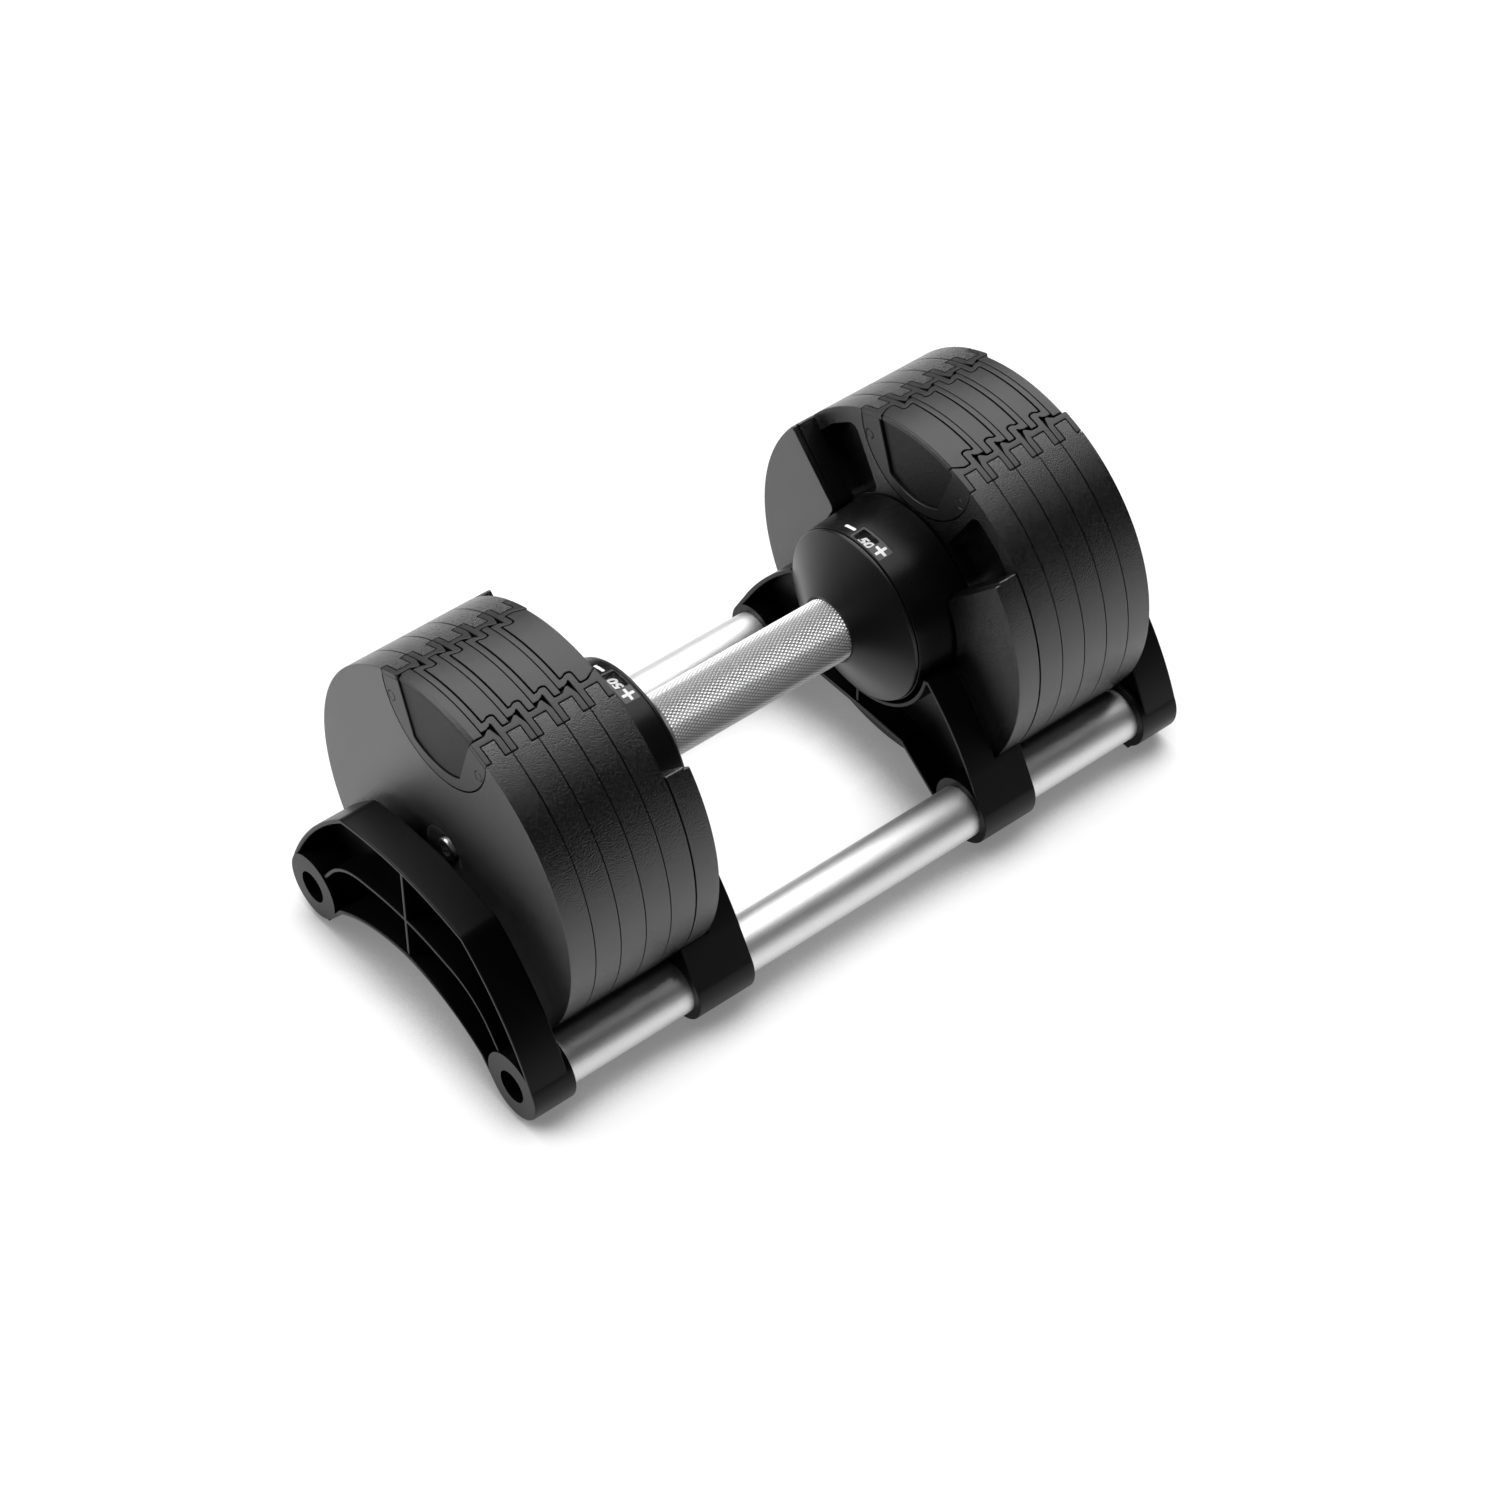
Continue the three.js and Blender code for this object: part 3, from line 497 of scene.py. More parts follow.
# %% Leather grain group
leather, ends_in, ends_out = new_group(
    "Leather grain", [("Bumps per metre", 900), ("Fineness", 0.35)], ["Height"])
place = add_node(leather, "ShaderNodeTexCoord").outputs["Object"]
bumps_per_metre = ends_in.outputs["Bumps per metre"]
cells = add_node(leather, "ShaderNodeTexVoronoi", feature="SMOOTH_F1", links=[
    ("Vector", place), ("Scale", bumps_per_metre), ("Smoothness", 0.6)])
bumps = calculated(leather, "SUBTRACT", 1.0, cells.outputs["Distance"])
speckle = noise_value(leather, place, calculated(leather, "MULTIPLY", bumps_per_metre, 3.1), Detail=2)
fine = calculated(leather, "MULTIPLY", speckle, ends_in.outputs["Fineness"])
leather.links.new(calculated(leather, "ADD", bumps, fine), ends_out.inputs["Height"])
print(leather.name, "has", len(leather.nodes), "nodes")

# %% [markdown]
# Plastic from a sparked mould is finer than leather: a plain noise with a short wavelength does it.

# %% Spark grain group
spark, ends_in, ends_out = new_group("Spark grain", [("Grains per metre", 2500)], ["Height"])
place = add_node(spark, "ShaderNodeTexCoord").outputs["Object"]
grains = noise_value(spark, place, ends_in.outputs["Grains per metre"], Detail=3, Roughness=0.65)
spark.links.new(grains, ends_out.inputs["Height"])
print(spark.name, "has", len(spark.nodes), "nodes")

# %% [markdown]
# No real surface has one even tone. Handling and mould flow leave broad, faint patches, and dust
# settles thinly. This group gives a slow drift between 0 and 1 that colours and roughness can follow.

# %% Tone drift group
drift, ends_in, ends_out = new_group(
    "Tone drift", [("Patches per metre", 18), ("Contrast", 0.5)], ["Drift"])
place = add_node(drift, "ShaderNodeTexCoord").outputs["Object"]
patches = noise_value(drift, place, ends_in.outputs["Patches per metre"], Detail=5, Roughness=0.6)
centred = calculated(drift, "SUBTRACT", patches, 0.5)
scaled = calculated(drift, "MULTIPLY_ADD", centred, ends_in.outputs["Contrast"], 0.5, clamp=True)
drift.links.new(scaled, ends_out.inputs["Drift"])
print(drift.name, "has", len(drift.nodes), "nodes")

# %% [markdown]
# Drawn tube and turned steel carry marks that run one way. Noise stretched along the handle gives fine
# lines, and a second, even noise gives the frosted sparkle of blasted and anodised aluminium.

# %% Metal marks group
marks, ends_in, ends_out = new_group(
    "Metal marks", [("Lines per metre", 1500), ("Stretch", 0.06), ("Sparkles per metre", 2600)],
    ["Lines", "Sparkle"])
place = add_node(marks, "ShaderNodeTexCoord").outputs["Object"]
squeeze = add_node(marks, "ShaderNodeCombineXYZ", [
    ("X", ends_in.outputs["Stretch"]), ("Y", 1.0), ("Z", 1.0)]).outputs[0]
along = vector_step(marks, "MULTIPLY", place, squeeze).outputs["Vector"]
lines = noise_value(marks, along, ends_in.outputs["Lines per metre"], Detail=2)
sparkle = noise_value(marks, place, ends_in.outputs["Sparkles per metre"], Detail=1)
marks.links.new(lines, ends_out.inputs["Lines"])
marks.links.new(sparkle, ends_out.inputs["Sparkle"])
print(marks.name, "has", len(marks.nodes), "nodes")

# %% [markdown]
# One recipe serves all the dull finishes, which are mostly black: a base tone that drifts a little, a
# roughness that drifts with it, and a grain height turned into a normal. Each chooses its own values.

# %% Dull finishes
def shade(value):
    """A grey with full alpha."""
    return (value, value, value, 1)


def start_material(name, viewport):
    """A material with its Principled shader, and its node tree."""
    material = bpy.data.materials.new(name)
    material.use_nodes = True
    material.diffuse_color = shade(viewport)
    return material, material.node_tree, material.node_tree.nodes["Principled BSDF"]


def between(tree, factor, low, high, start=0.0, stop=1.0, **settings):
    """A value that runs from low to high while the factor runs from start to stop."""
    links = [("Value", factor), ("From Min", start), ("From Max", stop),
             ("To Min", low), ("To Max", high)]
    return add_node(tree, "ShaderNodeMapRange", links, **settings).outputs["Result"]


def mixed_tone(tree, factor, dark, light):
    """A grey between two tones."""
    links = [("Factor", factor), (6, shade(dark)), (7, shade(light))]
    return add_node(tree, "ShaderNodeMix", links, data_type="RGBA").outputs[2]


def drifting(tree, patches, contrast):
    """The slow drift of a material's tone, between 0 and 1."""
    links = [("Patches per metre", patches), ("Contrast", contrast)]
    return place_group(tree, drift, links).outputs["Drift"]


def dress(tree, shader, tone_by, tones, rough_by, rough):
    """Tone and roughness that run from low to high with a factor each."""
    tree.links.new(mixed_tone(tree, tone_by, *tones), shader.inputs["Base Color"])
    tree.links.new(between(tree, rough_by, *rough), shader.inputs["Roughness"])


def add_relief(tree, shader, height, depth):
    """A height turned into the surface's normal; the depth is in millimetres."""
    links = [("Strength", 1.0), ("Distance", depth * MM), ("Height", height)]
    tree.links.new(add_node(tree, "ShaderNodeBump", links).outputs["Normal"], shader.inputs["Normal"])


def dull_finish(name, tones, rough, grains, depth, grain=spark, patches=18, specular=0.5):
    """A moulded or cast finish with this many grains per metre, each as high as the depth."""
    material, tree, shader = start_material(name, tones[1])
    slow = drifting(tree, patches, 1.6)
    dress(tree, shader, slow, tones, slow, rough)
    add_relief(tree, shader, place_group(tree, grain, [(0, grains)]).outputs["Height"], depth)
    shader.inputs["Specular IOR Level"].default_value = specular
    return material


cast_plate = dull_finish("cast plate", (0.0015, 0.0030), (0.22, 0.27), 1600, 0.19, leather, specular=0.81)
block_plastic = dull_finish("block plastic", (0.005, 0.009), (0.34, 0.42), 1500, 0.12)
panel_plastic = dull_finish("panel plastic", (0.004, 0.006), (0.46, 0.54), 1100, 0.2, specular=0.3)
bracket_plastic = dull_finish("bracket plastic", (0.002, 0.003), (0.30, 0.38), 2200, 0.03, specular=0.18)
cone_plastic = dull_finish("cone plastic", (0.004, 0.007), (0.28, 0.34), 2600, 0.02, specular=0.35)
hub_gloss = dull_finish("hub gloss", (0.004, 0.006), (0.20, 0.32), 900, 0.006, patches=60, specular=0.18)
ring_black = dull_finish("ring black", (0.002, 0.003), (0.5, 0.6), 1800, 0.01, specular=0.12)
rubber = dull_finish("foot rubber", (0.014, 0.020), (0.75, 0.85), 1400, 0.1)
nylon = dull_finish("bearing nylon", (0.60, 0.68), (0.42, 0.5), 1200, 0.03)
print("dull finishes made")

# %% [markdown]
# The metals share the drift and the metal marks. The tubes are frosted aluminium with a soft sheen that
# spreads along them, the grip is chrome, and the small pins and screws are plain or blackened steel.

# %% Metal finishes
def metal_finish(name, tones, rough, depth, sparkle_share=0.5, metallic=1.0):
    """A metal: fine lines and sparkle move its tone, its roughness and its normal."""
    material, tree, shader = start_material(name, tones[1])
    worn = place_group(tree, marks)
    blend = add_node(tree, "ShaderNodeMix", [
        (0, sparkle_share), (2, worn.outputs["Lines"]), (3, worn.outputs["Sparkle"])]).outputs[0]
    dress(tree, shader, blend, tones, drifting(tree, 25, 1.4), rough)
    add_relief(tree, shader, blend, depth)
    shader.inputs["Metallic"].default_value = metallic
    return material


tube_aluminium = metal_finish("tube aluminium", (0.66, 0.97), (0.46, 0.52), 0.1, sparkle_share=0.8)
grip_chrome = metal_finish("grip chrome", (0.88, 0.98), (0.19, 0.25), 0.01, metallic=0.35)
bright_steel = metal_finish("bright steel", (0.50, 0.62), (0.24, 0.32), 0.02)
dark_steel = metal_finish("dark steel", (0.10, 0.16), (0.36, 0.46), 0.02)
dish_steel = metal_finish("dish steel", (0.34, 0.46), (0.40, 0.48), 0.02)
print("metal finishes made")

# %% [markdown]
# The chrome is painted darker from the tips of the knurl towards its grooves: painted shade in the
# grooves. The distance from the handle's axis tells the two apart: generated coordinates run from 0 to 1
# over the piece, which makes the tips lie half a width from its middle.

# %% Painted shade in the grooves
def paint_groove_shade(material, bottom, top, dark):
    """Lets the tone fall off between two distances from the axis, in shares of the piece's width."""
    tree = material.node_tree
    base = tree.nodes["Principled BSDF"].inputs["Base Color"]
    place = add_node(tree, "ShaderNodeTexCoord").outputs["Generated"]
    centred = vector_step(tree, "SUBTRACT", place, (0.5, 0.5, 0.5)).outputs["Vector"]
    across = vector_step(tree, "MULTIPLY", centred, (0, 1, 1)).outputs["Vector"]
    away = vector_step(tree, "LENGTH", across).outputs["Value"]
    # Painted shade: the base colour is darkest in the grooves of the knurl.
    fall = between(tree, away, dark, 1.0, bottom, top)
    links = [("Factor", 1.0), (6, base.links[0].from_socket), (7, fall)]
    shaded = add_node(tree, "ShaderNodeMix", links, data_type="RGBA", blend_type="MULTIPLY")
    tree.links.new(shaded.outputs[2], base)


# Painted shade in the knurl's grooves of the grip's chrome.
paint_groove_shade(grip_chrome, 0.481, 0.494, 0.35)
print(grip_chrome.name, "has", len(grip_chrome.node_tree.nodes), "nodes")

# %% [markdown]
# # Plates and blocks
# Each round plate is an iron casting with a plastic block let into its top. Seen on the rim, a lighter
# tongue of the plate stands between two legs of the block, and every block hooks over its neighbour.
# Those shapes are drawn on the unrolled rim, as u millimetres inwards from the plate's outer face and
# s millimetres round from the top. They are raised as thin tiles, cut into narrow strips and then bent
# round the plate. A Boolean on the curved rim could do it too, but flat drawings keep their edges crisp.

# %% Tiles bent round the rim
ROUND_PLATES = 5
INNERMOST = ROUND_PLATES - 1
SHELL = 2.5
CORE = RIM - SHELL
STRIP = math.radians(3) * RIM


def plate_faces(number):
    """The inner and the outer face of a round plate; number 0 is the outermost."""
    outer = OUTER - number * PITCH
    return outer - THICK, outer


def bent(bm, radius, face, inwards=-1, strip=STRIP):
    """Bends a raised tile, cut into strips, onto a cylinder, with its upper side at the radius."""
    lowest = min(v.co.y for v in bm.verts)
    highest = max(v.co.y for v in bm.verts)
    for k in range(math.ceil(lowest / strip + 1e-6), math.ceil(highest / strip - 1e-6)):
        sliced(bm, (0, k * strip, 0), (0, 1, 0))
    top = max(v.co.z for v in bm.verts)
    for vert in bm.verts:
        u, s, h = vert.co
        t = s / radius
        r = radius - top + h
        vert.co = Vector((face + inwards * u, -r * math.sin(t), r * math.cos(t)))
    if inwards > 0:
        bmesh.ops.reverse_faces(bm, faces=bm.faces)
    return bm


def rim_tile(corners, number, edge=0.45, thickness=SHELL):
    """A tile of one round plate, from its corners on the unrolled rim."""
    tile = raised([rounded(corners, 3)], 0, thickness, (0, edge), 2)
    return bent(tile, RIM, plate_faces(number)[1])


print("rim strips every", round(STRIP, 2), "mm")

# %% [markdown]
# The saddle tile lies on top of each block. Its front and rear edges follow the hook of the block: flat,
# then round a quarter bend, down, and back along the bottom. The outermost tile is plain and has a broad
# bevel towards the face; the innermost one runs on to the inner face.

# %% Saddle tiles
HOOK = [(-2.6, 20.7, .4), (-1.2, 20.5, 1.5), (0.2, 19.6, 2), (3.7, 19.6, 3.2), (3.7, 26.9, .7)]


def saddle_tile(number):
    """The tile on top of one block."""
    if number == 0:
        corners = [(0.8, 26.6, .5), (7.2, 26.6, .5)]
    elif number == INNERMOST:
        corners = HOOK + [(7.2, 26.9, 3), (10.6, 25.2, 3), (THICK, 23.7, .4)]
    else:
        corners = HOOK + [(7.2, 26.9, .5)]
    return rim_tile(both_halves(corners), number)


def reshaped(bm, new_radius):
    """The solid with each point moved out or in, to a new radius found from its x and its radius."""
    for vert in bm.verts:
        radius = math.hypot(vert.co.y, vert.co.z)
        share = new_radius(vert.co.x, radius) / radius
        vert.co.y *= share
        vert.co.z *= share
    return bm


def bevelled(tile, start, run, drop, inwards):
    """Lowers the part of a tile past start towards the face, by drop over run millimetres."""
    def lowered(x, radius):
        """The radius after the bevel, never below the block's core."""
        past = (x - start) * inwards
        return max(CORE, radius - drop * past / run) if past > 1e-4 else radius

    return reshaped(sliced(tile, (start, 0, 0), (1, 0, 0)), lowered)


saddle_tiles = [saddle_tile(number) for number in range(ROUND_PLATES)]
bevelled(saddle_tiles[0], OUTER - 2.8, 2.0, 1.9, 1)
bevelled(saddle_tiles[INNERMOST], plate_faces(INNERMOST)[0] + 1.2, 1.2, 1.0, -1)
print("saddle tiles:", [len(tile.faces) for tile in saddle_tiles])

# %% [markdown]
# The hook frame is the rest of the block's top: a band that lies over the neighbour, an arm at each side
# and two legs that straddle the plate's tongue. The outermost block has nothing to hook over, so it has
# only its two pairs of legs.

# %% Hook frames
LEG_OUT, LEG_IN, LEG_END, TONGUE_TOP = 2.9, 10.3, 39.3, 30.5
LEGS = [(LEG_OUT, LEG_END, .3), (LEG_OUT, TONGUE_TOP, .3), (LEG_IN, TONGUE_TOP, .3),
        (LEG_IN, LEG_END, .3), (THICK, LEG_END, .3)]
SHOULDER = [(THICK - .05, 31, 3), (11.7, 25.3, 1.4), (10.4, 25.3, 1)]


def hook_frame(number):
    """The tiles of one block's frame."""
    if number == 0:
        legs = [(0.1, 27.2, 1), (0.1, LEG_END, .3)] + LEGS + SHOULDER + [(7.5, 27.3, 1)]
        return with_mirror(rim_tile(legs, number))
    shoulder = [(THICK, 24.3, .4), (10.6, 25.8, 3)] if number == INNERMOST else SHOULDER
    corners = [(-6.3, 25, .4), (-3.4, 25, 1), (-1.6, 24.3, 2), (-0.15, 22.9, .3), (-0.15, LEG_END, .3)]
    corners += LEGS + shoulder + [(7.5, 27.5, 1), (3.15, 27.5, .8), (3.15, 20.2, 2.8), (0.2, 20.2, 2)]
    corners += [(-1.3, 21.1, 1.5), (-3.3, 21.3, .4)]
    return [rim_tile(both_halves(corners), number)]


hook_frames = [hook_frame(number) for number in range(ROUND_PLATES)]
print("hook frames:", [sum(len(tile.faces) for tile in frames) for frames in hook_frames])

# %% [markdown]
# Under its tiles each block is a round-bottomed body that fills a seat in the plate. The two blocks that
# can be seen from the side have a raised border round a sunk panel, and a pin head in each upper corner.

# %% Block bodies
BLOCK_RISE, BLOCK_RADIUS = 86, 37.65
BORDER, GROOVE, PANEL_GAP = 5.7, 0.6, 0.4
PANEL_TOP, PANEL_FOOT = 25.6, 16.5
PIN_SPOTS, PIN_R, PIN_HOLE_R = [(-31.5, 72.5), (31.5, 72.5)], 2.4, 2.6


def block_meeting(radius):
    """Where an arc about the block's centre meets the core circle: half its angle and half its width."""
    z = (CORE ** 2 + BLOCK_RISE ** 2 - radius ** 2) / (2 * BLOCK_RISE)
    half = math.degrees(math.atan2(math.sqrt(CORE ** 2 - z ** 2), BLOCK_RISE - z))
    return half, radius * math.sin(math.radians(half))


def low_arc(radius, half, steps=40):
    """The block's round underside, from its right end to its left end."""
    return arc((0, BLOCK_RISE), radius, -90 + half, -90 - half, steps)


def rim_arc(start, end, steps=16):
    """Points on the core circle between two values of y."""
    first, last = (math.degrees(math.acos(y / CORE)) for y in (start, end))
    return arc((0, 0), CORE, first, last, steps)


def block_outline():
    """The block as a whole."""
    half, reach = block_meeting(BLOCK_RADIUS)
    return low_arc(BLOCK_RADIUS, half) + rim_arc(-reach, reach)


def panel_arc():
    """The round underside of the panel."""
    radius = BLOCK_RADIUS - BORDER
    return low_arc(radius, math.degrees(math.asin(PANEL_FOOT / radius)), 16)


def block_border():
    """The U of the raised border, open towards the rim."""
    half, reach = block_meeting(BLOCK_RADIUS)
    outer_side = low_arc(BLOCK_RADIUS, half) + rim_arc(-reach, -PANEL_TOP, 6)
    return outer_side + panel_arc()[::-1] + rim_arc(PANEL_TOP, reach, 6)


def block_panel():
    """The sunk panel, kept clear of the border by a narrow gap."""
    return shrunk(wound(panel_arc() + rim_arc(-PANEL_TOP, PANEL_TOP), True), PANEL_GAP)


def pinned_face(low, high):
    """A border with its two pin holes, and the pins that fill them."""
    holes = [circle(spot, PIN_HOLE_R) for spot in PIN_SPOTS]
    pins = [slab([circle(spot, PIN_R)], low, high, (.2, .2)) for spot in PIN_SPOTS]
    return [slab([block_border()] + holes, low, high, (.25, .25))] + pins


def block_body(number):
    """One block under its tiles; the first has a panel on its outer face, the last on its inner face."""
    inner, outer = plate_faces(number)
    panel_out = 0.9 if number == 0 else 0
    panel_in = 1.6 if number == INNERMOST else 0
    core_low = inner + (panel_in + GROOVE if panel_in else 0)
    core_high = outer - (panel_out + GROOVE if panel_out else 0)
    solids = [tinted(slab([block_outline()], core_low, core_high, (.3, .3)))]
    if panel_out:
        solids.append(tinted(slab([block_panel()], core_high - .3, outer - panel_out, (0, .2))))
        solids += pinned_face(core_high, outer)
    if panel_in:
        solids.append(tinted(slab([block_panel()], inner + panel_in, core_low + .3, (.2, 0))))
        solids += pinned_face(inner, core_low)
    return solids


for number in range(ROUND_PLATES):
    parts = block_body(number) + [saddle_tiles[number]] + hook_frames[number]
    add_pair(f"interlock_block_{number + 1}", parts, [block_plastic, panel_plastic], "dumbbell")

# %% [markdown]
# The round plates are discs with a broad notch for the block. Their rim is a skin of its own, so that a
# tongue of it can reach up between the legs of the block's frame.

# %% Round plates
TONGUE_OUT, TONGUE_IN, TONGUE_END = 3.2, 10.0, 30.9
SKIN_START = 39.6
SEAT_R = BLOCK_RADIUS + .6
BORE, DISH_R, DISH_DEPTH = 6.6, 12.8, 3.2


def plate_skin(number):
    """The plate's rim with a tongue at each end."""
    whole = 2 * math.pi * RIM
    first = [(0, SKIN_START, .3), (TONGUE_OUT, SKIN_START, .3), (TONGUE_OUT, TONGUE_END, .3),
             (TONGUE_IN, TONGUE_END, .3), (TONGUE_IN, SKIN_START, .3), (THICK, SKIN_START, .3)]
    last = [(u, whole - s, r) for u, s, r in reversed(first)]
    return rim_tile(first + last, number, edge=0.3, thickness=SHELL + 0.3)


def polar(radius, angle, *rounding):
    """A corner at an angle in degrees from the top."""
    return (radius * math.sin(math.radians(angle)), radius * math.cos(math.radians(angle)), *rounding)


def plate_disc(number, step=3):
    """The plate inside its skin, with the notch for the block and a corner every few degrees."""
    half, reach = block_meeting(SEAT_R)
    start = math.degrees(math.asin(reach / CORE))
    around = range(math.ceil(start / step), math.floor((360 - start) / step) + 1)
    outline = low_arc(SEAT_R, half)[::-1] + [polar(CORE, step * k) for k in around]
    return slab([outline, circle((0, 0), BORE)], *plate_faces(number))


def plate_pocket(inner=48.2, outer=84.3, first=30, last=57, depth=8, radius=5):
    """A deep pocket beside the block, on the inner face of the innermost round plate."""
    middle = (first + last) / 2
    corners = [polar(inner, first, radius), polar(outer, first, radius), polar(outer + .2, middle),
               polar(outer, last, radius), polar(inner, last, radius), polar(inner, middle)]
    face = plate_faces(INNERMOST)[0]
    return slab([rounded(corners, 5)], face - 1, face + depth)


def in_dish(face):
    """Whether a face belongs to the dish in the outermost plate."""
    return face.normal.x < 0.98 and BORE < math.hypot(*face.calc_center_median().yz) < DISH_R + .1


plate_bodies = [joined(plate_disc(number), plate_skin(number)) for number in range(ROUND_PLATES)]
dish = turned([(OUTER - DISH_DEPTH, 0), (OUTER - DISH_DEPTH, BORE), (OUTER - .5, 11.9), (OUTER, DISH_R),
               (OUTER + 1, DISH_R + 2), (OUTER + 1, 0)])
plate_bodies[0] = tinted(cut(plate_bodies[0], dish), 1, in_dish)
plate_bodies[INNERMOST] = cut(plate_bodies[INNERMOST], *with_mirror(plate_pocket()))
for number, plate in enumerate(plate_bodies):
    finish = [cast_plate, dish_steel] if number == 0 else cast_plate
    add_pair(f"weight_plate_{number + 1}", [plate], finish, "dumbbell")

# %% [markdown]
# The innermost plate straddles the hub. It is open at the top, and its two horns end in slanted edges. A
# thin layer on the handle side stands a little lower than the rest, which leaves a step along each edge.

# %% Hub plates
PLATE_6_LOW, PLATE_6_HIGH = ends("weight_plate_6_right")
HUB_BORE, LAYER = 48.5, 3.0


def horned_outline(drop, steps=150):
    """A disc with a bore, open in a right-angled V whose point lies this far below the axis."""
    def crossing(radius):
        """How far below the horizontal an edge of the V crosses a circle, in degrees."""
        return math.degrees(math.asin(drop / math.sqrt(2) / radius)) - 45

    outer = arc((0, 0), RIM, -crossing(RIM), -180 + crossing(RIM), steps)
    inner = arc((0, 0), HUB_BORE, -180 + crossing(HUB_BORE), -crossing(HUB_BORE), steps // 2)
    outer[0], outer[-1] = (*outer[0], 1), (*outer[-1], 1)
    inner = [(*inner[0], 4)] + inner[4:-4] + [(*inner[-1], 4)]
    return rounded(outer + inner, 5)


def hub_plate():
    """The plate in two layers, the one on the handle side a little lower."""
    outer_layer = slab([horned_outline(12.5)], PLATE_6_LOW + LAYER, PLATE_6_HIGH, (0, .5), 2)
    inner_layer = slab([horned_outline(14.1)], PLATE_6_LOW, PLATE_6_LOW + LAYER + .5, (.5, 0), 2)
    return joined(outer_layer, inner_layer)


add_pair("weight_plate_6", [hub_plate()], cast_plate, "dumbbell")

# %% [markdown]
# # The hubs
# A hub is a polished cup that widens slightly towards the plates. A shallow label field is sunk into its
# top, with a window in it and a minus and a plus sign beside it, printed in white.

# %% Hub housings
MOUTH, HUB_END = ends("hub_housing_right")
HUB_R, HUB_END_R, HUB_INSIDE_R = 45.3, 47.6, 42.3
CONE_ROOM_R, CONE_ROOM_END = 43.1, 77.8
PIN_BOSS, COLLAR_ROOM, LOCK_HOLE = (-43.8, -30.3, 5.4), (-42.3, -31.5, 4.2), (-50, -29, 2.8)
DRAFT = (HUB_END_R - HUB_R) / (HUB_END - MOUTH)
PIN_X = sum(ends("lock_pin_right")) / 2


def flared(bm):
    """Lets a tile drawn at the mouth's radius follow the hub's widening."""
    return reshaped(bm, lambda x, radius: radius + DRAFT * (x - MOUTH))


def hub_tile(corners, low, high, edges=(0, 0), flare=True, hole=None):
    """A tile on the hub from (x, s) corners, between two heights above its surface."""
    rings = [rounded(ring, 4) for ring in (corners, hole) if ring]
    tile = raised(rings, low, high, edges, 1)
    tile = bent(tile, HUB_R + high, 0, 1, math.radians(2.5) * HUB_R)
    return flared(tile) if flare else tile


def field(x0, x1, s0, s1, radius):
    """The corners of a rounded rectangle on the hub."""
    return [(x0, s0, radius), (x1, s0, radius), (x1, s1, radius), (x0, s1, radius)]


def upright(low, high, radius):
    """A round bar standing at the lock pin's place, from its foot, its top and its radius."""
    return raised([circle((PIN_X, 0), radius, 32)], low, high)


WINDOW = field(69.9, 77.0, -5.75, 5.75, .6)


def hub_housing():
    """A cup with a round boss for the lock pin inside it, and its window and label field cut in."""
    profile = [(MOUTH, CONE_ROOM_R), (MOUTH, HUB_R, .5), (HUB_END, HUB_END_R, 1), (HUB_END, BORE),
               (HUB_END - 1.2, BORE), (HUB_END - 1.2, 9.4), (HUB_END - 3.5, 9.4),
               (HUB_END - 3.5, HUB_INSIDE_R), (CONE_ROOM_END, HUB_INSIDE_R), (CONE_ROOM_END, CONE_ROOM_R)]
    shell = joined(turned(rounded(profile, 6), 144), upright(*PIN_BOSS))
    window = hub_tile(WINDOW, -4, 2)
    label = hub_tile(field(69.5, 78.4, -7.4, 14.4, 1), -.25, 1.5)
    return cut(shell, window, label, upright(*LOCK_HOLE), upright(*COLLAR_ROOM))


add_pair("hub_housing", [hub_housing()], hub_gloss, "dumbbell")

# %% [markdown]
# The printed signs are thin skins of white ink. They lie a hair above the surface so that they never
# flicker against it, and the label field has a skin of its own in a slightly greyer black.

# %% Printed signs and windows
white_ink = dull_finish("white ink", (0.84, 0.90), (0.40, 0.48), 3000, 0.005)
label_black = dull_finish("label black", (0.022, 0.028), (0.34, 0.40), 2600, 0.01)

PLUS = [(-3.3, -.75), (-.75, -.75), (-.75, -3.3), (.75, -3.3), (.75, -.75), (3.3, -.75),
        (3.3, .75), (.75, .75), (.75, 3.3), (-.75, 3.3), (-.75, .75), (-3.3, .75)]
plus_mark = hub_tile([(73.9 + x, 10 + s, .25) for x, s in PLUS], -.22, -.14)
minus_mark = hub_tile(field(72.85, 74.55, -15, -7.8, .5), -.02, .05)
label_skin = hub_tile(field(69.65, 78.25, -7.25, 14.25, .9), -.3, -.2, hole=WINDOW)

for side, word in SIDES:
    signs = [plus_mark, minus_mark, tinted(label_skin)]
    add_piece(f"printed_signs_{word}", signs, [white_ink, label_black], "dumbbell", side=side)


def clear_lens():
    """Clear plastic, thin enough that it only adds a gleam over the number below."""
    material, tree, shader = start_material("clear lens", 0.8)
    slow = drifting(tree, 60, 1.2)
    dress(tree, shader, slow, (0.10, 0.16), slow, (0.08, 0.14))
    shader.inputs["Alpha"].default_value = 0.04
    return material


lens = hub_tile(field(70.2, 76.7, -5.45, 5.45, .5), -1.0, 0, (.1, .15), flare=False)
add_pair("window_lens", [lens], clear_lens(), "dumbbell")

# %% [markdown]
# Behind each window a ring turns with the handle and carries the six weights. The figures are drawn with
# the built-in typeface, thickened and slanted, and bent onto the ring. A figure sits every 60 degrees.

# %% Number rings
RING_LOW, RING_HIGH = ends("number_ring_right")
RING_R = span("number_ring_right")[1].z
RING_WALL, FIGURE_X = 2.6, 73.45
NUMBERS = ["50", "42", "34", "26", "18", "10"]


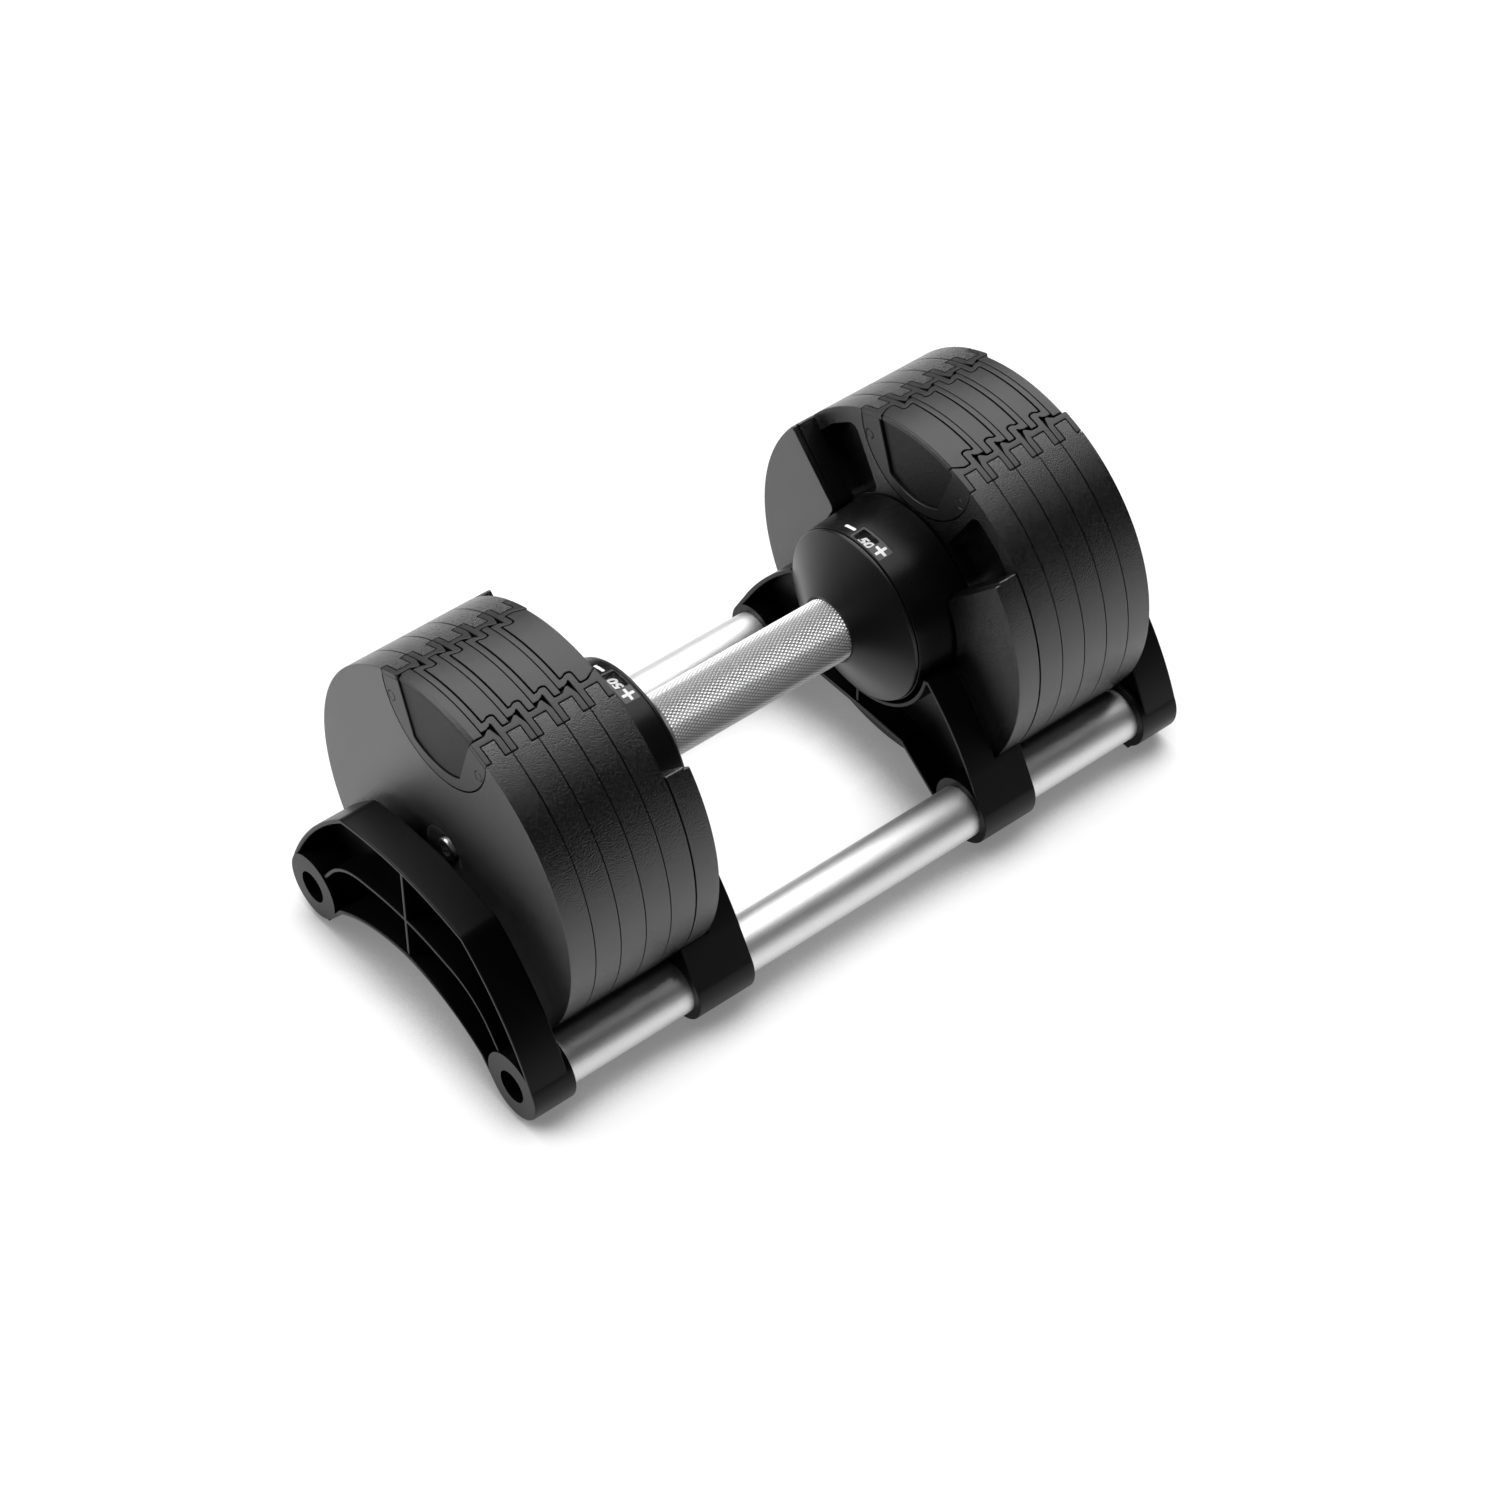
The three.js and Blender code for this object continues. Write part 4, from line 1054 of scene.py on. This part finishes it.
def figure_tile(text, high=4.8, wide=8.8):
    """The figures as a flat solid, centred, reading along s with their tops towards the plates."""
    curve = bpy.data.curves.new("figures", "FONT")
    curve.body = text
    curve.shear = 0.25
    curve.offset = 0.045
    curve.extrude = 0.01
    curve.resolution_u = 6
    shape = new_object("figures", curve)
    evaluated = shape.evaluated_get(bpy.context.evaluated_depsgraph_get())
    bm = bmesh.new()
    bm.from_mesh(evaluated.to_mesh())
    evaluated.to_mesh_clear()
    bpy.data.objects.remove(shape)
    bpy.data.curves.remove(curve)
    bmesh.ops.remove_doubles(bm, verts=bm.verts, dist=1e-5)
    spans = [(min(v.co[i] for v in bm.verts), max(v.co[i] for v in bm.verts)) for i in (0, 1)]
    for vert in bm.verts:
        across, upwards = ((v - (a + b) / 2) / (b - a) for v, (a, b) in zip(vert.co, spans))
        vert.co = Vector((upwards * high, across * wide, (vert.co.z > 0) * 0.08))
    bmesh.ops.recalc_face_normals(bm, faces=bm.faces)
    return bm


def ring_figures(direction):
    """All the numbers bent onto the ring, evenly spread in this direction."""
    solids = []
    for k, text in enumerate(NUMBERS):
        turn = math.radians(360 / len(NUMBERS) * k * direction)
        tile = moved(figure_tile(text), FIGURE_X, turn * RING_R)
        solids.append(bent(tile, RING_R + .08, 0, 1, 40))
    return solids


ring = [(RING_LOW, RING_R - RING_WALL), (RING_LOW, RING_R, .3),
        (RING_HIGH, RING_R, .3), (RING_HIGH, RING_R - RING_WALL)]
add_pair("number_ring", [turned(rounded(ring, 3), 144)], ring_black, "handle")
for side, word in SIDES:
    figures = ring_figures(side) if side > 0 else [mirrored(bm, 1) for bm in ring_figures(side)]
    add_piece(f"ring_figures_{word}", figures, white_ink, "handle", side=side)
print("numbers", NUMBERS, "on each ring")

# %% [markdown]
# # The handle
# The cones guide the hand to the grip. They are turned profiles with a rounded edge where they meet the
# hubs and a spigot behind it that carries the number ring.

# %% Cones
NOSE, SPIGOT = ends("handle_cone_right")
CONE_EDGE = MOUTH - 0.3
cone = [(NOSE, 16.3), (NOSE, 17.4, .6), (66.9, 44.6, 1.0), (CONE_EDGE, 44.9, .35), (CONE_EDGE, 39.9),
        (SPIGOT, 39.9), (SPIGOT, 36.9), (66.6, 36.9), (55, 19), (66.6, 19), (66.6, 16.3)]
add_pair("handle_cone", [turned(rounded(cone, 6), 144)], cone_plastic, "handle")

# %% [markdown]
# The grip is knurled: two sets of slanting grooves leave rows of small pyramids. The whole diamond
# pattern is modelled, because its sparkle comes from facets that face every way. Every second point of
# an even grid is a tip and the others lie in the grooves, and each square is folded along its groove.

# %% Knurled grip
GRIP_R = (grip_high.z - grip_low.z) / 2 / MM
GRIP_END = grip_high.x / MM
GRIP_BORE, NECK_R, NECK_END = 13.6, 15.6, 52.3
KNURL_STEP, KNURL_SPOTS, KNURL_DEPTH, KNURL_ROWS = 1.45, 106, 0.6, 36


def knurled_grip():
    """A sleeve with a plain neck at each end and a folded diamond pattern between them."""
    bm = bmesh.new()
    rows = []

    def add_row(x, radius, knurled=None):
        """A ring of points; on a knurled row every second one lies in a groove."""
        row = []
        for j in range(KNURL_SPOTS):
            t = 2 * math.pi * j / KNURL_SPOTS
            r = radius if knurled is None or (knurled + j) % 2 else radius - KNURL_DEPTH
            row.append(bm.verts.new((x, r * math.sin(t), r * math.cos(t))))
        rows.append((row, knurled))

    plain = [(-GRIP_END, GRIP_BORE), (-GRIP_END, NECK_R), (-NECK_END, NECK_R)]
    for x, radius in plain:
        add_row(x, radius)
    for i in range(-KNURL_ROWS, KNURL_ROWS + 1):
        add_row(i * KNURL_STEP, GRIP_R, i + KNURL_ROWS)
    for x, radius in reversed(plain):
        add_row(-x, radius)
    for (last, kind_a), (this, kind_b) in zip(rows[-1:] + rows, rows):
        for j in range(KNURL_SPOTS):
            a, b, c, d = last[j - 1], last[j], this[j], this[j - 1]
            if kind_a is None or kind_b is None:
                bm.faces.new((a, d, c, b))
            elif (kind_a + j) % 2:
                bm.faces.new((a, d, c))
                bm.faces.new((a, c, b))
            else:
                bm.faces.new((a, d, b))
                bm.faces.new((d, c, b))
    bmesh.ops.recalc_face_normals(bm, faces=bm.faces)
    return bm


grip = knurled_grip()
add_piece("knurled_grip", [grip], grip_chrome, "handle", ["knurled_grip"], crease=12)
print("grip of", len(grip.faces), "facets")

# %% [markdown]
# Inside the handle a rod reaches out through the plates that are picked up. Its tip lies in the dish of
# the outermost plate, with a hexagon socket in it.

# %% Selector rods
ROD_TAIL, ROD_TIP = ends("selector_rod_right")[0], OUTER - 0.6
ROD_R, SOCKET_R, FOLLOWER_R = 6, 3.4, 2.5
FOLLOWER = sum(ends("follower_pin_right")) / 2
rod = turned(rounded([(ROD_TAIL, 0), (ROD_TAIL, ROD_R, .6), (ROD_TIP, ROD_R, 1.6), (ROD_TIP, 0)], 5), 64)
hexagon = slab([circle((0, 0), SOCKET_R, 6)], ROD_TIP - 5, ROD_TIP + 1)
follower_hole = raised([circle((FOLLOWER, 0), FOLLOWER_R)], 0, 20)
add_pair("selector_rod", [cut(rod, hexagon, follower_hole)], bright_steel, "rod")

# %% [markdown]
# # The cradle
# Two tubes carry four moulded brackets. The tubes are drawn aluminium with a thick, drilled wall in each
# end for the screw.

# %% Tubes
TUBE_LOW, TUBE_HIGH = span("cradle_tube_rear")
TUBE_Y, TUBE_Z = (TUBE_LOW.y + TUBE_HIGH.y) / 2, (TUBE_LOW.z + TUBE_HIGH.z) / 2
TUBE_R = (TUBE_HIGH.z - TUBE_LOW.z) / 2
TUBE_END = TUBE_HIGH.x
TUBE_WALL, THICK_END, SCREW_HOLE_R = 1.8, 8, 3.3


def tube():
    """A tube with its thick ends drilled for the screws."""
    profile = [(-TUBE_END, 0), (-TUBE_END, TUBE_R, .5), (TUBE_END, TUBE_R, .5), (TUBE_END, 0)]
    hollow = round_bar(-TUBE_END + THICK_END, TUBE_END - THICK_END, TUBE_R - TUBE_WALL, 64)
    drill = round_bar(-TUBE_END - 1, TUBE_END + 1, SCREW_HOLE_R, 32)
    return cut(turned(rounded(profile, 3)), hollow, drill)


tube_body = tube()
for place, y in (("front", -TUBE_Y), ("rear", TUBE_Y)):
    name = f"cradle_tube_{place}"
    add_piece(name, [moved(tube_body.copy(), 0, y, TUBE_Z)], tube_aluminium, "cradle", [name])
print(f"tubes {2 * TUBE_R:.1f} mm thick, {2 * TUBE_END:.0f} mm long")

# %% [markdown]
# The brackets are moulded shells. Their front is a wall that follows the outline, with ribs between its
# sides, and a round boss takes each tube. The outline is drawn from a few arcs, and the same drawing
# gives the solid and, shrunk by the wall, the hollow inside it.

# %% Bracket drawings
BOSS_R, WALL, WEB, RIB = 17.5, 2.2, 2.4, 1.8


def boss_arc(start, end):
    """Part of the rear boss's edge."""
    return arc((TUBE_Y, TUBE_Z), BOSS_R, start, end, 40)


def end_outline():
    """The end bracket, from four arcs on each side."""
    arch = bow((54, -72), (0, -54.5), 100, 20)[::-1]
    flank = bow(boss_arc(11.9, 12)[-1], (46, -1.5), 155, 24)
    crown = bow((46, -1.5), (0, 4), 205, 16)
    return both_halves(arch[1:] + boss_arc(-140, 12) + flank[1:] + crown[1:-1], 0)


def saddle_outline(cup=47.5):
    """The saddle bracket, from three arcs on each side."""
    horn = math.degrees(math.asin(-8.6 / cup))
    inner = (cup * math.cos(math.radians(horn)), -8.6)
    outer = (inner[0] + 3.4, -7.6)
    flank = bow((82.5, -46.5), outer, 160, 24)
    hollow = arc((0, 0), cup, horn, -89.5, 45)
    return both_halves([(33, -61)] + boss_arc(-140, 30) + flank + hollow, 0)


def both_bosses(low, high, radius, edges=(0, 0)):
    """A disc on the axis of each tube."""
    return with_mirror(slab([circle((TUBE_Y, TUBE_Z), radius, 72)], low, high, edges, 2))


def middle_rib(foot, top, low, high, edges):
    """An upright rib in the middle of a bracket."""
    half = RIB / 2
    return slab([[(-half, foot), (half, foot), (half, top), (-half, top)]], low, high, edges, 2)


def thick_line(points, width):
    """The outline of a rib that follows the points."""
    sides = []
    for turn in (-1, 1):
        side = []
        for i, here in enumerate(points):
            back, ahead = Vector(points[max(i - 1, 0)]), Vector(points[min(i + 1, len(points) - 1)])
            along = (ahead - back).normalized()
            side.append((here[0] - along.y * turn * width / 2, here[1] + along.x * turn * width / 2))
        sides.append(side)
    return sides[0] + sides[1][::-1]


print("end bracket outline has", len(end_outline()), "points, saddle outline", len(saddle_outline()))

# %% [markdown]
# An end bracket has an arched rib from boss to boss and one upright rib. Its outer edge is rounded more
# towards the face, and its ribs stand back a little from the lip. Both are drawn as solids and taken
# away from the hollow before the hollow is taken away from the bracket.

# %% End brackets
END_LOW, END_HIGH = ends("end_bracket_right")
SCREW_SEAT, SCREW_POCKET_R = END_LOW + 9, 8.3
WALL_LOW = END_LOW + 3
SOCKET_GAP = 0.3


def end_bracket():
    """The bracket with its hollow, its tube sockets and its screw pockets cut out."""
    path = rounded([(-TUBE_Y, TUBE_Z), (-51, -35.6, 40), (0, -27.5, 200),
                    (51, -35.6, 40), (TUBE_Y, TUBE_Z)], 8)
    floor, lip = WALL_LOW + WEB, END_HIGH - .8
    ribs = joined(slab([thick_line(path, RIB)], floor - 1, lip, (0, .5), 2),
                  middle_rib(-56, 6, floor - 1, lip, (0, .5)))
    hollow = joined(slab([shrunk(end_outline(), WALL)], floor, END_HIGH + 1),
                    slab([shrunk(end_outline(), WALL - .5)], END_HIGH - .5, END_HIGH + 1, (.5, 0)))
    hollow = cut(hollow, *both_bosses(floor - 1, END_HIGH + 2, BOSS_R), ribs)
    body = slab([end_outline()], WALL_LOW, END_HIGH, (.6, .9), 3)
    body = joined(body, *both_bosses(END_LOW, END_HIGH, BOSS_R, (.6, .9)))
    sockets = both_bosses(END_LOW - 1, END_LOW + 5, TUBE_R + SOCKET_GAP)
    pockets = both_bosses(SCREW_SEAT, END_HIGH + 1, SCREW_POCKET_R)
    screw_holes = both_bosses(END_LOW, SCREW_SEAT + 1, SCREW_HOLE_R)
    return cut(body, hollow, *sockets, *pockets, *screw_holes)


add_pair("end_bracket", [end_bracket()], bracket_plastic, "cradle")

# %% [markdown]
# A saddle bracket holds the hub in a round cup and the innermost plate against its back. Its bosses run
# on under the plates, and beyond the saddle they are cut away to the plates' radius.

# %% Saddle brackets
SADDLE_LOW, SADDLE_HIGH = ends("saddle_bracket_right")
SADDLE_BACK = SADDLE_LOW + 16


def saddle_bracket():
    """The bracket with its hollow, its tube sockets and the room for the plates cut out."""
    web = SADDLE_BACK - WEB
    rib = middle_rib(-63, -45, SADDLE_LOW + .8, web + 1, (.5, 0))
    hollow = joined(slab([shrunk(saddle_outline(), WALL)], SADDLE_LOW - 1, web),
                    slab([shrunk(saddle_outline(), WALL - .4)], SADDLE_LOW - 1, SADDLE_LOW + .4, (0, .4)))
    hollow = cut(hollow, *both_bosses(SADDLE_LOW - 2, web + 1, BOSS_R), rib)
    body = slab([saddle_outline()], SADDLE_LOW, SADDLE_HIGH, (.5, .4), 3)
    body = joined(body, *both_bosses(SADDLE_LOW, SADDLE_HIGH, BOSS_R, (.5, .4)))
    plate_room = round_bar(SADDLE_BACK, SADDLE_HIGH + 1, RIM + .3, 144)
    sockets = both_bosses(SADDLE_LOW - 1, SADDLE_HIGH + 1, TUBE_R + SOCKET_GAP)
    return cut(body, plate_room, hollow, *sockets)


add_pair("saddle_bracket", [saddle_bracket()], bracket_plastic, "cradle")

# %% [markdown]
# # The locks
# The saddle pushes a lock pin up into each hub, and a coil spring pushes it back down when the dumbbell is
# lifted out. The coil is a round section carried along a helix, between the spring's two ends.

# %% Lock springs
spring_low, spring_high = span("lock_spring_right")
SPRING_LOW, SPRING_HIGH = spring_low.z, spring_high.z
SPRING_R = (spring_high.y - spring_low.y) / 2


def coil_spring(wire=0.42, turns=3.5, around=20, section=10):
    """A coil of round wire, whose radius is given, between the spring's two ends."""
    bm = bmesh.new()
    steps = round(turns * around)
    rings = []
    for i in range(steps + 1):
        t = 2 * math.pi * i / around
        height = SPRING_LOW + wire + (SPRING_HIGH - SPRING_LOW - 2 * wire) * i / steps
        ring = []
        for k in range(section):
            a = 2 * math.pi * k / section
            r = SPRING_R - wire + wire * math.cos(a)
            spot = (PIN_X + r * math.cos(t), r * math.sin(t), height + wire * math.sin(a))
            ring.append(bm.verts.new(spot))
        rings.append(ring)
    for low, high in zip(rings, rings[1:]):
        for k in range(section):
            bm.faces.new((low[k - 1], low[k], high[k], high[k - 1]))
    bm.faces.new(rings[0])
    bm.faces.new(rings[-1])
    bmesh.ops.recalc_face_normals(bm, faces=bm.faces)
    return bm


for side, word in SIDES:
    spring = add_piece(f"lock_spring_coil_{word}", [coil_spring()], bright_steel, "dumbbell",
                       [f"lock_spring_{word}"], side)
    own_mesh(spring)
print(f"springs {SPRING_HIGH - SPRING_LOW:.1f} mm high")

# %% [markdown]
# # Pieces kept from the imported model
# The screws, feet, lock pins and the drive inside the handle are plain turned pieces, so their
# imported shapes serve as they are. They only need finishes that suit their materials.

# %% Finishes for the kept pieces
KEPT = {"tube_screw": dark_steel, "foot": rubber, "lock_pin": dark_steel,
        "drive_sleeve": nylon, "core_tube": dark_steel, "follower_pin": dark_steel, "thrust_bush": nylon}
for name, obj in frame["nodes"].items():
    for start, finish in KEPT.items():
        if name.startswith(start):
            obj.data.materials.clear()
            obj.data.materials.append(finish)
print("finishes given to", sum(name.startswith(tuple(KEPT)) for name in frame["nodes"]), "kept pieces")

# %% [markdown]
# # Floor and light
# The dumbbell stands on a white sweep. Seen directly the sweep is plain white, and only the soft shadow
# under the brackets shows on it. Ambient occlusion gives that shadow, because it stays close to what
# stands on the floor.

# %% Floor
def white_floor(share=0.85, reach=0.05):
    """A pale sweep that looks plain white, seen or reflected, under a close soft shadow."""
    material, tree, shader = start_material("white sweep", 0.9)
    tree.links.new(mixed_tone(tree, drifting(tree, 6, 0.4), 0.80, 0.82), shader.inputs["Base Color"])
    shader.inputs["Roughness"].default_value = 0.9
    shader.inputs["Specular IOR Level"].default_value = 0.1
    rays = add_node(tree, "ShaderNodeLightPath").outputs
    seen = calculated(tree, "MAXIMUM", rays["Is Camera Ray"], rays["Is Glossy Ray"])
    seen = calculated(tree, "MAXIMUM", seen, rays["Is Transmission Ray"])
    near = add_node(tree, "ShaderNodeAmbientOcclusion", [("Distance", reach)], samples=16).outputs["AO"]
    close = between(tree, near, 0.25, 1.15, 0.38, 0.86, interpolation_type="SMOOTHSTEP")
    glow = add_node(tree, "ShaderNodeEmission", [("Color", close), ("Strength", 1.0)]).outputs[0]
    mix = add_node(tree, "ShaderNodeMixShader", [
        (0, calculated(tree, "MULTIPLY", seen, share)), (1, shader.outputs[0]), (2, glow)])
    tree.links.new(mix.outputs[0], tree.nodes["Material Output"].inputs["Surface"])
    return material


FLOOR_REACH = 3
floor_mesh = bpy.data.meshes.new("floor")
corners = [(x * FLOOR_REACH, y * FLOOR_REACH, 0) for x, y in ((-1, -1), (1, -1), (1, 1), (-1, 1))]
floor_mesh.from_pydata(corners, [], [(0, 1, 2, 3)])
floor_mesh.materials.append(white_floor())
floor = new_object("floor", floor_mesh)
floor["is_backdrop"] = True
print("floor laid,", 2 * FLOOR_REACH, "m wide")

# %% [markdown]
# The lamps are large and soft. The main one hangs overhead, a little to the right, which puts the broad
# highlight on the shoulders of the plates. A smaller one behind on the left lights the rims from there.

# %% Lamps
MIDDLE = Vector((0, 0, 0.08))


def add_lamp(name, spot, size, power):
    """A rectangular softbox at a spot in metres, facing the middle of the dumbbell."""
    data = bpy.data.lights.new(name, "AREA")
    data.shape = "RECTANGLE"
    data.size, data.size_y = size
    data.energy = power
    lamp = new_object(name, data)
    lamp.location = spot
    lamp.rotation_euler = (MIDDLE - Vector(spot)).to_track_quat("-Z", "Y").to_euler()
    lamp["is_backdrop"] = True


add_lamp("overhead softbox", (0.45, 0.60, 1.45), (2.3, 1.8), 44)
add_lamp("rear left softbox", (-1.25, 0.95, 0.95), (0.9, 0.7), 14)
print("lamps hung")

# %% [markdown]
# The world fills the shadows with an even grey. Only rays that come straight from the camera see it as
# plain white, so the far edge of the sweep never shows.

# %% Surroundings
world = bpy.data.worlds.new("surroundings")
bpy.context.scene.world = world
world.use_nodes = True
sky = world.node_tree
background = sky.nodes["Background"]
straight = add_node(sky, "ShaderNodeLightPath").outputs["Is Camera Ray"]
sky.links.new(mixed_tone(sky, straight, 0.065, 1.0), background.inputs["Color"])
background.inputs["Strength"].default_value = 1.0
bpy.context.scene.view_settings.view_transform = "Standard"
print("world ready")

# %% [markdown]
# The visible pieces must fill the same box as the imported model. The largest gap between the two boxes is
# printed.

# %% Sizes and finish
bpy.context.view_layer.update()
gaps = [abs(a - b) for ours, packed in zip(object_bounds(), cad_box) for a, b in zip(ours, packed)]
print("boxes agree within", round(max(gaps) / MM, 3), "mm")
